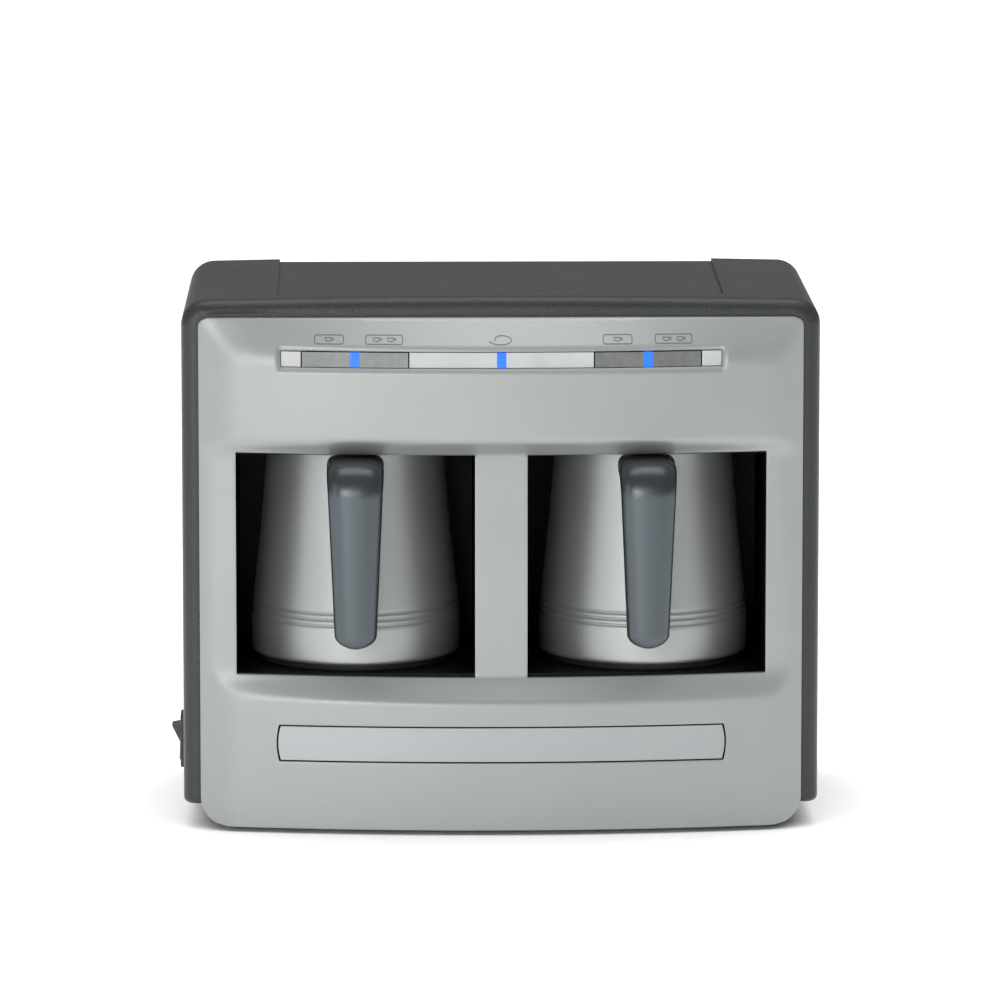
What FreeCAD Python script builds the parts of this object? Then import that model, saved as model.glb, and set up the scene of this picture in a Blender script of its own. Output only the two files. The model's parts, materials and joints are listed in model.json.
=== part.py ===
import FreeCAD, Part

import math
import os
from functools import cache

from FreeCAD import Matrix, Vector

# Electric turkish coffee maker with two pull-out pots, in millimetres.
# It is modelled about the middle of the front: X to the right, Y to the back from the front
# rim of the outer wrap, Z up from the table. Each piece is moved at export, so that the
# origin is under the middle of the whole object.

# Outer wrap
WRAP_WIDTH = 300.0
WRAP_DEPTH = 150.0
WRAP_TOP = 253.0
WRAP_BOTTOM = 11.5
WRAP_CORNER = 12.0
WRAP_CROWN = 1.5
WRAP_DRAFT = 1.3
WRAP_WALL = 2.5
WRAP_ROOF = 4.2
WRAP_RIM = 8.0
WRAP_EDGE = 6.5
WRAP_FOOT_RADIUS = 3.0
WRAP_FLANGE = 13.5
FLANGE_THICK = 3.0
TRAY_WIDTH = 210.0
TRAY_DEEP = 0.7
TRAY_FRONT = 10.0
TRAY_CORNER = 10.0

# Front panel
PANEL_WIDTH = 283.5
PANEL_BOTTOM = 2.5
PANEL_TOP = 243.5
PANEL_WALL = 3.0
PANEL_EDGE = 2.5
PANEL_TOP_RADIUS = 4.0
PANEL_FOOT_RADIUS = 13.0
FACE_HALF = 128.0
FACE_SIDE = 8.5
FACE_MIDDLE = 20.0
WAIST_BACK = 10.0
WAIST_HALF = 136.5
TOP_HALF = 138.5
TOP_FRONT = 3.2
LEDGE_LOW = (63.3, 65.7)
LEDGE_HIGH = (73.6, 75.2)
LIP_LOW = (179.6, 180.8)
LIP_HIGH = (186.9, 185.3)
HOOD_CREASE = (227.2, 226.2)

# Windows and the bays behind them
PILLAR_WIDTH = 24.6
WINDOW_WIDTH = 112.2
BAY_FLOOR = 75.3
BAY_ROOF = 179.4
BAY_BACK = 102.0
BAY_WALL = 2.0

# Pots
POT_Y = 46.0
POT_FLOOR_GAP = 0.3
POT_FOOT = 2.9
POT_HEIGHT = 99.5
POT_BASE_RADIUS = 49.5
POT_CONE_RADIUS = 47.8
POT_NECK_RADIUS = 42.1
POT_BAND = 18.5
POT_GROOVES = 3
POT_GROOVE_PITCH = 2.9
POT_GROOVE_DEEP = 0.7
POT_WALL = 1.6
VESSEL_WALL = 1.0
VESSEL_FLOOR = 12.0
VESSEL_AIR = 1.2
POT_RIM = 1.4
HEATER_THICK = 4.0
HEATER_RADIUS = 33.0
COIL_RADIUS = 1.9
COIL_INSET = 10.0
HANDLE_TOP_WIDTH = 27.0
HANDLE_FOOT_WIDTH = 19.0
HANDLE_THICK = 12.6
HANDLE_FRONT = 27.7
HANDLE_BEND = 9.7
HANDLE_ARM_DROP = 5.4
HANDLE_SCREW_DROP = 7.4
HANDLE_SCREW_SEAT = 0.4
HANDLE_SCREW_HEAD = 0.7
HANDLE_ROUND = 5.4
HANDLE_BOTTOM = 91.5
INSERT_BOTTOM = 124.0
PLUG_WIDTH = 24.0
PLUG_HEIGHT = 13.0
PIN_RADIUS = 1.6
PIN_LENGTH = 8.0
PIN_PITCH = 7.0
PLUG_RISE = 10.0
SOCKET_WIDTH = 30.0
SOCKET_HEIGHT = 18.0
SOCKET_OUT = 4.8
SOCKET_DEEP = 10.0
CONTACT_RADIUS = 2.7
CONTACT_LENGTH = 11.0
TAIL_RADIUS = 1.0
SENSOR_RADIUS = 7.0

# Buttons and their trim
SLOT_LOW = 221.6
SLOT_HIGH = 229.2
SLOT_HALF = 103.2
SLOT_BEVEL = 1.8
BUTTON_SINK = 2.2
BUTTON_THICK = 5.0
BUTTON_LENGTH = 49.6
BUTTON_GAP = 0.6
BUTTON_SLIT = 0.3
BUTTON_LENS = 4.3
BUTTON_LENS_DEEP = 2.6
PIVOT_RADIUS = 1.0
PIVOT_BACK = 9.6
RUNNING_FIT = 0.05
SWITCH_ARM = 18.0
SWITCH_SPACE = 1.0
BOARD_FRONT = 1.0
BOARD_THICK = 1.6
BOARD_HALF = 104.0
BOARD_LOW = 196.0
BOARD_HIGH = 236.0
TACT_TALL = 4.0
TACT_HALF = 3.0
LED_RADIUS = 1.5
LENS_PROUD = 0.15
LUG_HALF = 2.4
RIB_HALF = 1.2
BRACKET_HALF = 3.5
BRACKET_WALL = 2.0
RAIL_DROP = 7.0

# Nameplate
PLATE_HALF = 103.8
PLATE_LOW = 35.3
PLATE_HIGH = 51.3
PLATE_THICK = 1.3
PLATE_GAP = 0.5
PLATE_SINK = 0.3
PLATE_END_BOW = 1.2

# Base, back and feet
BASE_BOTTOM = 6.0
BASE_WALL = 2.5
FOOT_RADIUS = 10.0
COVER_THICK = 2.5
COVER_INSET = 1.5
SCREW_RADIUS = 1.5
SCREW_HEAD = 3.0
SCREW_HEAD_THICK = 1.6
BOSS_RADIUS = 4.5
FIT = 0.3
BOLT_GAP = 0.1
EAR_IN = 9.0
EAR_HALF = 5.5
EAR_THICK = 3.0
EAR_REACH = 3.0
EAR_BOSS = 3.5
REAR_BOSS_LENGTH = 24.0
REAR_BOSS_INSET = 45.0
BASE_SCREW_INSET = 25.0
FOOT_FRONT = 22.0
FOOT_BACK = 24.0
VENT_ROWS = (95.0, 175.0)
VENT_TALL = 34.0
VENT_WIDTH = 3.0
VENT_PITCH = 9.0
GLAND_X = 95.0
GLAND_Z = 36.0
GLAND_RADIUS = 7.0
GLAND_BORE = 3.6
GLAND_OUT = 6.0
POWER_BOARD_LOW = 22.0
POWER_BOARD_HALF = 62.0
POWER_BOARD_FRONT = 58.0
POWER_BOARD_BACK = 132.0
POST_INSET = 6.0
POST_RADIUS = 3.5

# Rocker power switch on the left side
POWER_Y = 40.0
POWER_Z = 35.8
BEZEL_HEIGHT = 25.7
BEZEL_WIDTH = 16.0
BEZEL_THICK = 2.1
ROCKER_RADIUS = 9.8
ROCKER_WIDTH = 11.0
ROCKER_OUT = 5.0
ROCKER_VALLEY = 2.9
ROCKER_TILT = 12.0
ROCKER_PIN = 1.5

PANEL_HALF = PANEL_WIDTH / 2
BOW_RISE = FACE_MIDDLE - FACE_SIDE
BOW_RADIUS = (FACE_HALF**2 + BOW_RISE**2) / (2 * BOW_RISE)
WRAP_HALF = WRAP_WIDTH / 2
WINDOW_IN = PILLAR_WIDTH / 2
WINDOW_OUT = WINDOW_IN + WINDOW_WIDTH
BAY_X = (WINDOW_IN + WINDOW_OUT) / 2
BUTTON_LOW = SLOT_LOW + BUTTON_SLIT
BUTTON_HIGH = SLOT_HIGH - BUTTON_SLIT
POT_BOTTOM = BAY_FLOOR + POT_FLOOR_GAP
SLEEVE_BOTTOM = POT_BOTTOM + POT_FOOT
SLEEVE_TOP = SLEEVE_BOTTOM + POT_HEIGHT
EAR_X = PANEL_HALF - EAR_IN
EAR_HEIGHTS = (PANEL_BOTTOM + 18.5, PANEL_TOP - 12.0)
SCREW_HOLE = SCREW_RADIUS + BOLT_GAP
HANDLE_ARM_Z = SLEEVE_TOP - HANDLE_ARM_DROP
HANDLE_SCREW_Z = SLEEVE_TOP - HANDLE_SCREW_DROP
PLUG_Z = SLEEVE_BOTTOM + PLUG_RISE
PLUG_FRONT = POT_Y + POT_BASE_RADIUS - 5.0
SOCKET_FRONT = BAY_BACK - SOCKET_OUT
SOCKET_BACK = BAY_BACK + SOCKET_DEEP
HEATER_LOW = SLEEVE_BOTTOM + VESSEL_FLOOR - HEATER_THICK
COVER_BACK = WRAP_DEPTH - COVER_INSET
BEYOND = 200.0
SIDES = {"left": -1, "right": 1}
BOTH = (-1, 1)


def box(x0, x1, y0, y1, z0, z1):
    return Part.makeBox(x1 - x0, y1 - y0, z1 - z0, Vector(x0, y0, z0))


def rod(x, y, z, radius, length, axis):
    return Part.makeCylinder(radius, length, Vector(x, y, z), Vector(*axis))


def line(a, b):
    return Part.makeLine(a, b)


def arc(a, b, c):
    return Part.Arc(a, b, c).toShape()


def joined(shapes):
    return shapes[0].fuse(shapes[1:]).removeSplitter() if len(shapes) > 1 else shapes[0]


def shelf(x, middle_side, half=FACE_HALF):
    """Height at x of a line that is given at the middle and at the side of the face."""
    middle, side = middle_side
    return middle + (side - middle) * (x / half) ** 2


def bow(x):
    """Depth in front of the rim of the bowed face at x."""
    return FACE_MIDDLE - BOW_RADIUS + math.sqrt(BOW_RADIUS**2 - x**2)


def bow_band(x0, x1, z0, z1, near, far):
    """A curved slab that follows the bowed face, from near to far behind it."""
    mid = (x0 + x1) / 2
    front = [Vector(x, near - bow(x), z0) for x in (x0, mid, x1)]
    back = [Vector(x, far - bow(x), z0) for x in (x1, mid, x0)]
    edges = [arc(*front), line(front[2], back[0]), arc(*back), line(back[2], front[0])]
    return Part.Face(Part.Wire(edges)).extrude(Vector(0, 0, z1 - z0))


# Wrap
def wrap_profile(y, inset, roof, low, radius):
    """Outline of the wrap across the front at depth y: sides, round corners, crowned top."""
    half = WRAP_HALF - WRAP_DRAFT * max(y, 0) / WRAP_DEPTH - inset
    top = WRAP_TOP - roof
    shoulder = top - WRAP_CROWN
    cut = radius * (1 - math.sqrt(0.5))
    p = [
        Vector(-half, y, low),
        Vector(-half, y, shoulder - radius),
        Vector(-half + cut, y, shoulder - cut),
        Vector(-half + radius, y, shoulder),
        Vector(0, y, top),
        Vector(half - radius, y, shoulder),
        Vector(half - cut, y, shoulder - cut),
        Vector(half, y, shoulder - radius),
        Vector(half, y, low),
    ]
    edges = [
        line(p[0], p[1]),
        arc(p[1], p[2], p[3]),
        arc(p[3], p[4], p[5]),
        arc(p[5], p[6], p[7]),
        line(p[7], p[8]),
        line(p[8], p[0]),
    ]
    return Part.Wire(edges)


def wrap_block(y0, y1, inset, roof, low, radius):
    ends = [wrap_profile(y, inset, roof, low, radius) for y in (y0, y1)]
    return Part.makeLoft(ends, True, True)


def rounded_front(half, low, high, low_radius, high_radius, y0, y1):
    """A slab across the front with its own radius at the lower and at the upper corners."""
    slab = box(-half, half, y0, y1, low, high)
    for radius, z in ((low_radius, low), (high_radius, high)):
        corners = [e for e in slab.Edges if along_y(e) and abs(e.CenterOfMass.z - z) < 0.1]
        slab = slab.makeFillet(radius, corners)
    return slab


def along_y(edge):
    return edge.BoundBox.XLength < 0.01 and edge.BoundBox.ZLength < 0.01


def cup_tray_recess():
    floor = WRAP_TOP - WRAP_CROWN - TRAY_DEEP
    recess = box(-TRAY_WIDTH / 2, TRAY_WIDTH / 2, TRAY_FRONT, WRAP_DEPTH + 1, floor, WRAP_TOP + 1)
    corners = [
        e
        for e in recess.Edges
        if e.BoundBox.ZLength > 1 and e.CenterOfMass.y < TRAY_FRONT + 1
    ]
    return recess.makeFillet(TRAY_CORNER, corners)


def ear_places():
    return [(side * EAR_X, z) for side in BOTH for z in EAR_HEIGHTS]


def rear_boss_places():
    x = WRAP_HALF - WRAP_DRAFT - WRAP_WALL - BOSS_RADIUS + 0.8
    heights = (WRAP_BOTTOM + REAR_BOSS_INSET, WRAP_TOP - REAR_BOSS_INSET)
    return [(side * x, z) for side in BOTH for z in heights]


def base_screw_places():
    x = WRAP_HALF - WRAP_FLANGE / 2 - 1.5
    depths = (BASE_SCREW_INSET, WRAP_DEPTH / 2, WRAP_DEPTH - BASE_SCREW_INSET)
    return [(side * x, y) for side in BOTH for y in depths]


def outer_wrap():
    block = wrap_block(0, WRAP_DEPTH, 0, 0, WRAP_BOTTOM, WRAP_CORNER)
    rim = [
        e
        for e in block.Edges
        if e.BoundBox.YLength < 0.01
        and e.CenterOfMass.y < 0.1
        and e.CenterOfMass.z > WRAP_BOTTOM + 1
    ]
    block = block.makeFillet(WRAP_EDGE, rim)
    foot = [
        e
        for e in block.Edges
        if e.BoundBox.YLength > WRAP_DEPTH / 2
        and e.BoundBox.ZLength < 0.01
        and e.CenterOfMass.z < WRAP_BOTTOM + 0.1
    ]
    block = block.makeFillet(WRAP_FOOT_RADIUS, foot)
    inner_low = WRAP_BOTTOM + FLANGE_THICK
    inner_radius = WRAP_CORNER - WRAP_WALL
    hollow = wrap_block(WRAP_RIM, WRAP_DEPTH + 1, WRAP_WALL, WRAP_ROOF, inner_low, inner_radius)
    shell = block.cut(hollow)
    under = WRAP_HALF - WRAP_FLANGE
    shell = shell.cut(box(-under, under, -1, WRAP_DEPTH + 1, 0, inner_low + 1))
    front_half = PANEL_HALF - PANEL_WALL + 0.5
    front_top = PANEL_TOP - PANEL_WALL + 0.5
    front = rounded_front(front_half, -20, front_top, 2, 3, -1, WRAP_RIM + 1)
    shell = shell.cut(front)
    shell = shell.cut(cup_tray_recess())
    extras = []
    for x, z in ear_places():
        reach = EAR_HALF + EAR_REACH
        x0, x1 = sorted((x - math.copysign(EAR_HALF, x), x + math.copysign(reach, x)))
        ear = box(x0, x1, WRAP_RIM - EAR_THICK, WRAP_RIM, z - EAR_HALF, z + EAR_HALF)
        extras.append(ear)
    boss_back = COVER_BACK - COVER_THICK
    for x, z in rear_boss_places():
        boss = rod(x, boss_back, z, BOSS_RADIUS, REAR_BOSS_LENGTH, (0, -1, 0))
        extras.append(boss)
    shell = shell.fuse(extras).removeSplitter()
    for x, z in ear_places():
        shell = shell.cut(rod(x, 0, z, SCREW_HOLE, WRAP_RIM + 1, (0, 1, 0)))
    for x, z in rear_boss_places():
        shell = shell.cut(rod(x, boss_back - 15, z, SCREW_HOLE, 16, (0, 1, 0)))
    for x, y in base_screw_places():
        shell = shell.cut(rod(x, y, 0, SCREW_HOLE, 30, (0, 0, 1)))
        shell = shell.cut(rod(x, y, 0, SCREW_HEAD + 0.2, WRAP_BOTTOM + SCREW_HEAD_THICK, (0, 0, 1)))
    return shell.cut(power_cutout())


# Front panel
def panel_section(z, depth, half, corner, edge_half, edge, back):
    """Plan outline at one level: z is (middle, side), depth and corner give the bowed front."""
    middle, side = z
    a = Vector(-edge_half, back, side)
    b = Vector(-edge_half, -edge, side)
    c = Vector(-half, -corner, side)
    m = Vector(0, -depth, middle)
    d = Vector(half, -corner, side)
    e = Vector(edge_half, -edge, side)
    f = Vector(edge_half, back, side)
    return Part.Wire([line(a, b), line(b, c), arc(c, m, d), line(d, e), line(e, f), line(f, a)])


def side_bevel(half):
    """Depth of the side bevel where it is this far from the middle."""
    slope = (FACE_SIDE - PANEL_EDGE) / (PANEL_HALF - FACE_HALF)
    return PANEL_EDGE + slope * (PANEL_HALF - half)


def panel_levels(wall):
    """The seven levels of the panel, or of its hollow when wall is more than nothing."""
    waist = FACE_MIDDLE - WAIST_BACK
    up = wall * 0.6
    full = (FACE_MIDDLE, FACE_HALF, FACE_SIDE)
    back = (waist, WAIST_HALF, side_bevel(WAIST_HALF))
    top = (TOP_FRONT, TOP_HALF, PANEL_EDGE + 0.4)
    rows = [
        ((PANEL_BOTTOM + wall, PANEL_BOTTOM + wall), full),
        (moved(LEDGE_LOW, -up), full),
        (moved(LEDGE_HIGH, -up), back),
        (moved(LIP_LOW, up), back),
        (moved(LIP_HIGH, up), full),
        (moved(HOOD_CREASE, -up), full),
        ((PANEL_TOP - wall, PANEL_TOP - wall), top),
    ]
    sections = []
    for z, (depth, half, corner) in rows:
        inside = (depth - wall, half - wall * 0.5, corner - wall)
        edge = PANEL_EDGE - wall
        sections.append(panel_section(z, *inside, PANEL_HALF - wall, edge, 1.0 if wall else 0.0))
    return sections


def moved(pair, by):
    return tuple(value + by for value in pair)


def panel_outer():
    block = Part.makeLoft(panel_levels(0), True, True)
    corners = rounded_front(
        PANEL_HALF, PANEL_BOTTOM, PANEL_TOP, PANEL_FOOT_RADIUS, PANEL_TOP_RADIUS, -40, 1
    )
    return block.common(corners)


@cache
def panel_hollow():
    block = Part.makeLoft(panel_levels(PANEL_WALL), True, True)
    corners = rounded_front(
        PANEL_HALF - PANEL_WALL,
        PANEL_BOTTOM + PANEL_WALL,
        PANEL_TOP - PANEL_WALL,
        PANEL_FOOT_RADIUS - PANEL_WALL,
        PANEL_TOP_RADIUS - PANEL_WALL,
        -40,
        2,
    )
    return block.common(corners)


def window(side):
    """The opening in front of one bay, with its sill and head on the curved shelf lines."""
    x0, x1 = sorted((side * WINDOW_IN, side * WINDOW_OUT))
    mid = (x0 + x1) / 2
    low = [Vector(x, -40, shelf(x, LEDGE_HIGH, WAIST_HALF)) for x in (x0, mid, x1)]
    high = [Vector(x, -40, shelf(x, LIP_LOW, WAIST_HALF)) for x in (x1, mid, x0)]
    edges = [arc(*low), line(low[2], high[0]), arc(*high), line(high[2], low[0])]
    return Part.Face(Part.Wire(edges)).extrude(Vector(0, 60, 0))


def button_slot():
    """Opening for the buttons, with a bevelled mouth."""
    hole = box(-SLOT_HALF, SLOT_HALF, -40, 5, SLOT_LOW, SLOT_HIGH)
    upper = bow_band(
        -SLOT_HALF - SLOT_BEVEL,
        SLOT_HALF + SLOT_BEVEL,
        SLOT_LOW - SLOT_BEVEL,
        SLOT_HIGH + SLOT_BEVEL,
        -5,
        1.4,
    )
    return hole.fuse(upper)


def plate_outline(gap, near, far):
    """The nameplate's slab, with ends that bow outward, grown all round by gap."""
    low = PLATE_LOW - gap
    high = PLATE_HIGH + gap
    half = PLATE_HALF + gap
    mid = (low + high) / 2
    p = [
        Vector(-half, -40, low),
        Vector(half, -40, low),
        Vector(half + PLATE_END_BOW, -40, mid),
        Vector(half, -40, high),
        Vector(-half, -40, high),
        Vector(-half - PLATE_END_BOW, -40, mid),
    ]
    edges = [line(p[0], p[1]), arc(p[1], p[2], p[3]), line(p[3], p[4]), arc(p[4], p[5], p[0])]
    outline = Part.Face(Part.Wire(edges)).extrude(Vector(0, 60, 0))
    reach = half + 2 * PLATE_END_BOW
    return outline.common(bow_band(-reach, reach, low - 1, high + 1, near, far))


def front_panel():
    shell = panel_outer().cut(panel_hollow())
    for side in BOTH:
        shell = shell.cut(window(side))
    shell = shell.cut(button_slot())
    shell = shell.cut(plate_outline(PLATE_GAP, -5, PLATE_SINK + PLATE_THICK))
    bosses = []
    for x, z in ear_places():
        start = 0.5 - PANEL_EDGE - 1.2
        bosses.append(rod(x, start, z, EAR_BOSS, WRAP_RIM - EAR_THICK - start, (0, 1, 0)))
    shell = shell.fuse(bosses).removeSplitter()
    for x, z in ear_places():
        shell = shell.cut(rod(x, -1, z, SCREW_HOLE, 10, (0, 1, 0)))
    return shell


def panel_screws():
    solids = []
    for x, z in ear_places():
        solids.append(screw(x, WRAP_RIM, z, 8.0, (0, -1, 0)))
    return Part.makeCompound(solids)


def screw(x, y, z, length, axis):
    """A screw whose head's underside is at the point, with its shank along axis."""
    shank = rod(x, y, z, SCREW_RADIUS, length, axis)
    head = rod(x, y, z, SCREW_HEAD, SCREW_HEAD_THICK, [-v for v in axis])
    socket = rod(x, y, z, 1.2, SCREW_HEAD_THICK + 1, [-v for v in axis])
    deep = Vector(*axis) * (-SCREW_HEAD_THICK * 0.4)
    socket.translate(deep)
    return shank.fuse(head).cut(socket).removeSplitter()


def nameplate():
    return plate_outline(0, PLATE_SINK, PLATE_SINK + PLATE_THICK)


# Buttons
def button_ends(side):
    middle = side * BAY_X
    return middle - BUTTON_LENGTH / 2, middle + BUTTON_LENGTH / 2


def pivot_y():
    return PIVOT_BACK - bow(BAY_X)


def lens_cut(side, grow):
    middle = side * BAY_X
    half = BUTTON_LENS / 2
    deep = BUTTON_SINK + BUTTON_LENS_DEEP
    return bow_band(middle - half, middle + half, BUTTON_LOW, BUTTON_HIGH, BUTTON_SINK - grow, deep)


def button(side):
    x0, x1 = button_ends(side)
    middle = side * BAY_X
    near = BUTTON_SINK
    far = BUTTON_SINK + BUTTON_THICK
    bar = bow_band(x0, x1, BUTTON_LOW, BUTTON_HIGH, near, far)
    lug_back = pivot_y()
    x2, x3 = middle - LUG_HALF, middle + LUG_HALF
    lug = box(x2, x3, far - 0.5 - bow(middle), lug_back, BUTTON_LOW, BUTTON_HIGH)
    tall = BUTTON_HIGH - BUTTON_LOW
    lug = lug.fuse(rod(middle, lug_back, BUTTON_LOW, LUG_HALF, tall, (0, 0, 1)))
    ribs = []
    for arm in BOTH:
        x = middle + arm * SWITCH_ARM
        tip = BOARD_FRONT - TACT_TALL - SWITCH_SPACE
        front = far - 0.5 - bow(x)
        ribs.append(box(x - RIB_HALF, x + RIB_HALF, front, tip, BUTTON_LOW + 1, BUTTON_HIGH - 1))
    bar = bar.fuse([lug] + ribs).removeSplitter()
    bore = rod(middle, lug_back, SLOT_LOW - 5, PIVOT_RADIUS + RUNNING_FIT, 20, (0, 0, 1))
    return bar.cut(bore).cut(lens_cut(side, 1.0))


def button_lens(side):
    return lens_cut(side, LENS_PROUD)


def pivot_pins():
    pins = []
    for side in BOTH:
        height = SLOT_HIGH - SLOT_LOW + 2 * BRACKET_WALL
        low = SLOT_LOW - BRACKET_WALL
        pins.append(rod(side * BAY_X, pivot_y(), low, PIVOT_RADIUS, height, (0, 0, 1)))
    return Part.makeCompound(pins)


def button_trim():
    """Light grey strip in the slot: two end caps, the middle strip and the pivot brackets."""
    near = BUTTON_SINK
    far = BUTTON_SINK + BUTTON_THICK
    in_end = BAY_X - BUTTON_LENGTH / 2 - BUTTON_GAP
    out_end = BAY_X + BUTTON_LENGTH / 2 + BUTTON_GAP
    cap_end = SLOT_HALF - 0.3
    low = SLOT_LOW - BRACKET_WALL
    high = SLOT_HIGH + BRACKET_WALL
    rail_low = SLOT_LOW - RAIL_DROP
    rail_front = far - 1.0
    rail_back = far + 1.0
    arm_front = pivot_y() - 1.6
    arm_back = pivot_y() + 6.0
    pieces = [
        bow_band(-in_end, in_end, BUTTON_LOW, BUTTON_HIGH, near, far),
        bow_band(-cap_end, cap_end, rail_low, low, rail_front, rail_back),
    ]
    for x0, x1 in ((-in_end, in_end), (-cap_end, -out_end), (out_end, cap_end)):
        pieces.append(bow_band(x0, x1, low - 1.0, BUTTON_LOW + 1, rail_front, rail_back))
    for side in BOTH:
        x0, x1 = sorted((side * out_end, side * cap_end))
        pieces.append(bow_band(x0, x1, BUTTON_LOW, BUTTON_HIGH, near, far))
        middle = side * BAY_X
        x0, x1 = middle - BRACKET_HALF, middle + BRACKET_HALF
        pieces.append(box(x0, x1, arm_front, arm_back, low, SLOT_LOW))
        pieces.append(box(x0, x1, arm_front, arm_back, SLOT_HIGH, high))
        pieces.append(box(x0, x1, arm_back - BRACKET_WALL, arm_back, low, high))
        pieces.append(box(x0, x1, rail_front - bow(middle), arm_back, rail_low, low))
    trim = joined(pieces)
    for side in BOTH:
        trim = trim.cut(rod(side * BAY_X, pivot_y(), low - 0.5, PIVOT_RADIUS, 20, (0, 0, 1)))
    half = BUTTON_LENS / 2
    deep = BUTTON_SINK + BUTTON_LENS_DEEP
    return trim.cut(bow_band(-half, half, BUTTON_LOW - 1, BUTTON_HIGH + 1, -3, deep))


def indicator_lens():
    half = BUTTON_LENS / 2
    deep = BUTTON_SINK + BUTTON_LENS_DEEP
    return bow_band(-half, half, BUTTON_LOW, BUTTON_HIGH, BUTTON_SINK - LENS_PROUD, deep)


# Control board behind the buttons
def control_board():
    back = BOARD_FRONT + BOARD_THICK
    board = box(-BOARD_HALF, BOARD_HALF, BOARD_FRONT, back, BOARD_LOW, BOARD_HIGH)
    chip = box(-9, 9, back, back + 1.6, BOARD_LOW + 8, BOARD_LOW + 26)
    return board.fuse(chip).removeSplitter()


def tact_switches():
    solids = []
    z = (BUTTON_LOW + BUTTON_HIGH) / 2
    for side in BOTH:
        for arm in BOTH:
            x = side * BAY_X + arm * SWITCH_ARM
            low, high = z - TACT_HALF, z + TACT_HALF
            body = box(x - TACT_HALF, x + TACT_HALF, BOARD_FRONT - 2.4, BOARD_FRONT, low, high)
            plunger = rod(x, BOARD_FRONT - TACT_TALL, z, 1.6, TACT_TALL - 2.0, (0, 1, 0))
            solids.append(body.fuse(plunger).removeSplitter())
    return Part.makeCompound(solids)


def indicator_leds():
    solids = []
    z = (BUTTON_LOW + BUTTON_HIGH) / 2
    for x in (-BAY_X + 5.5, 0, BAY_X - 5.5):
        front = BOARD_FRONT - 2 * LED_RADIUS
        dome = Part.makeSphere(LED_RADIUS, Vector(x, front, z))
        stem = rod(x, front, z, LED_RADIUS, 2 * LED_RADIUS, (0, 1, 0))
        solids.append(stem.fuse(dome).removeSplitter())
    return Part.makeCompound(solids)


def board_brackets():
    """Two plastic rails that hang the control board from the front panel's hood."""
    solids = []
    for side in BOTH:
        x0, x1 = sorted((side * BOARD_HALF, side * (BOARD_HALF + 4.0)))
        rail = box(x0, x1, -4.0, BOARD_FRONT + BOARD_THICK + 2, BOARD_LOW, BOARD_HIGH - 2)
        inner = panel_hollow().fuse(box(-BEYOND, BEYOND, 0, BEYOND, 0, 2 * BEYOND))
        grown = box(x0, x1, -20.0, 0, BOARD_LOW, BOARD_HIGH - 4).common(inner)
        solids.append(rail.fuse(grown).removeSplitter())
    return Part.makeCompound(solids)


# Bays
def bay_liner(side):
    x0, x1 = sorted((side * WINDOW_IN, side * WINDOW_OUT))
    roof = BAY_ROOF + BAY_WALL
    outer = box(x0 - BAY_WALL, x1 + BAY_WALL, -16, BAY_BACK + BAY_WALL, BAY_FLOOR - BAY_WALL, roof)
    inner = box(x0, x1, -17, BAY_BACK, BAY_FLOOR, BAY_ROOF)
    space = panel_hollow().fuse(box(-BEYOND, BEYOND, 0, BEYOND, 0, 2 * BEYOND))
    shell = outer.cut(inner).common(space)
    x = side * BAY_X
    shell = shell.cut(rod(x, POT_Y, BAY_ROOF - 1, SENSOR_RADIUS, 10, (0, 0, 1)))
    shell = shell.cut(socket_block(side, FIT / 2))
    return shell


def sensor_window(side):
    x = side * BAY_X
    return rod(x, POT_Y, BAY_ROOF + 0.2, SENSOR_RADIUS, BAY_WALL - 0.2, (0, 0, 1))


def sensor_housing(side):
    x = side * BAY_X
    base = BAY_ROOF + BAY_WALL
    cup = rod(x, POT_Y, base, SENSOR_RADIUS + 3, 12, (0, 0, 1))
    well = rod(x, POT_Y, base - 1, SENSOR_RADIUS - 1.5, 9, (0, 0, 1))
    eyes = [rod(x + d, POT_Y, base + 6.5, 1.5, 6, (0, 0, 1)) for d in (-2.5, 2.5)]
    return cup.cut(well).fuse(eyes).removeSplitter()


def socket_block(side, grow):
    x = side * BAY_X
    half = SOCKET_WIDTH / 2 + grow
    tall = SOCKET_HEIGHT / 2 + grow
    return box(x - half, x + half, SOCKET_FRONT, SOCKET_BACK, PLUG_Z - tall, PLUG_Z + tall)


def pin_places(side):
    return [side * BAY_X + i * PIN_PITCH for i in (-1, 0, 1)]


def power_socket(side):
    block = socket_block(side, 0)
    flange_half = SOCKET_WIDTH / 2 + 4
    x = side * BAY_X
    back = BAY_BACK + BAY_WALL
    tall = SOCKET_HEIGHT / 2 + 3
    flange = box(x - flange_half, x + flange_half, back, back + 3, PLUG_Z - tall, PLUG_Z + tall)
    block = block.fuse(flange).removeSplitter()
    for px in pin_places(side):
        block = block.cut(rod(px, SOCKET_FRONT - 1, PLUG_Z, CONTACT_RADIUS, CONTACT_LENGTH + 2, (0, 1, 0)))
        block = block.cut(rod(px, SOCKET_FRONT, PLUG_Z, TAIL_RADIUS, 20, (0, 1, 0)))
    return block


def socket_contacts(side):
    solids = []
    for px in pin_places(side):
        tube = rod(px, SOCKET_FRONT + 1, PLUG_Z, CONTACT_RADIUS, CONTACT_LENGTH, (0, 1, 0))
        bore = rod(px, SOCKET_FRONT, PLUG_Z, PIN_RADIUS + FIT, 10, (0, 1, 0))
        tail = rod(px, SOCKET_BACK - 3.8, PLUG_Z, TAIL_RADIUS, 9, (0, 1, 0))
        solids.append(tube.cut(bore).fuse(tail).removeSplitter())
    return Part.makeCompound(solids)


# Pots
def turned(points, x):
    """A solid turned about the pot's axis from (radius, height) points."""
    path = [Vector(x + r, POT_Y, z) for r, z in points]
    wire = Part.makePolygon(path + [path[0]])
    return Part.Face(wire).revolve(Vector(x, POT_Y, 0), Vector(0, 0, 1), 360)


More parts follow.
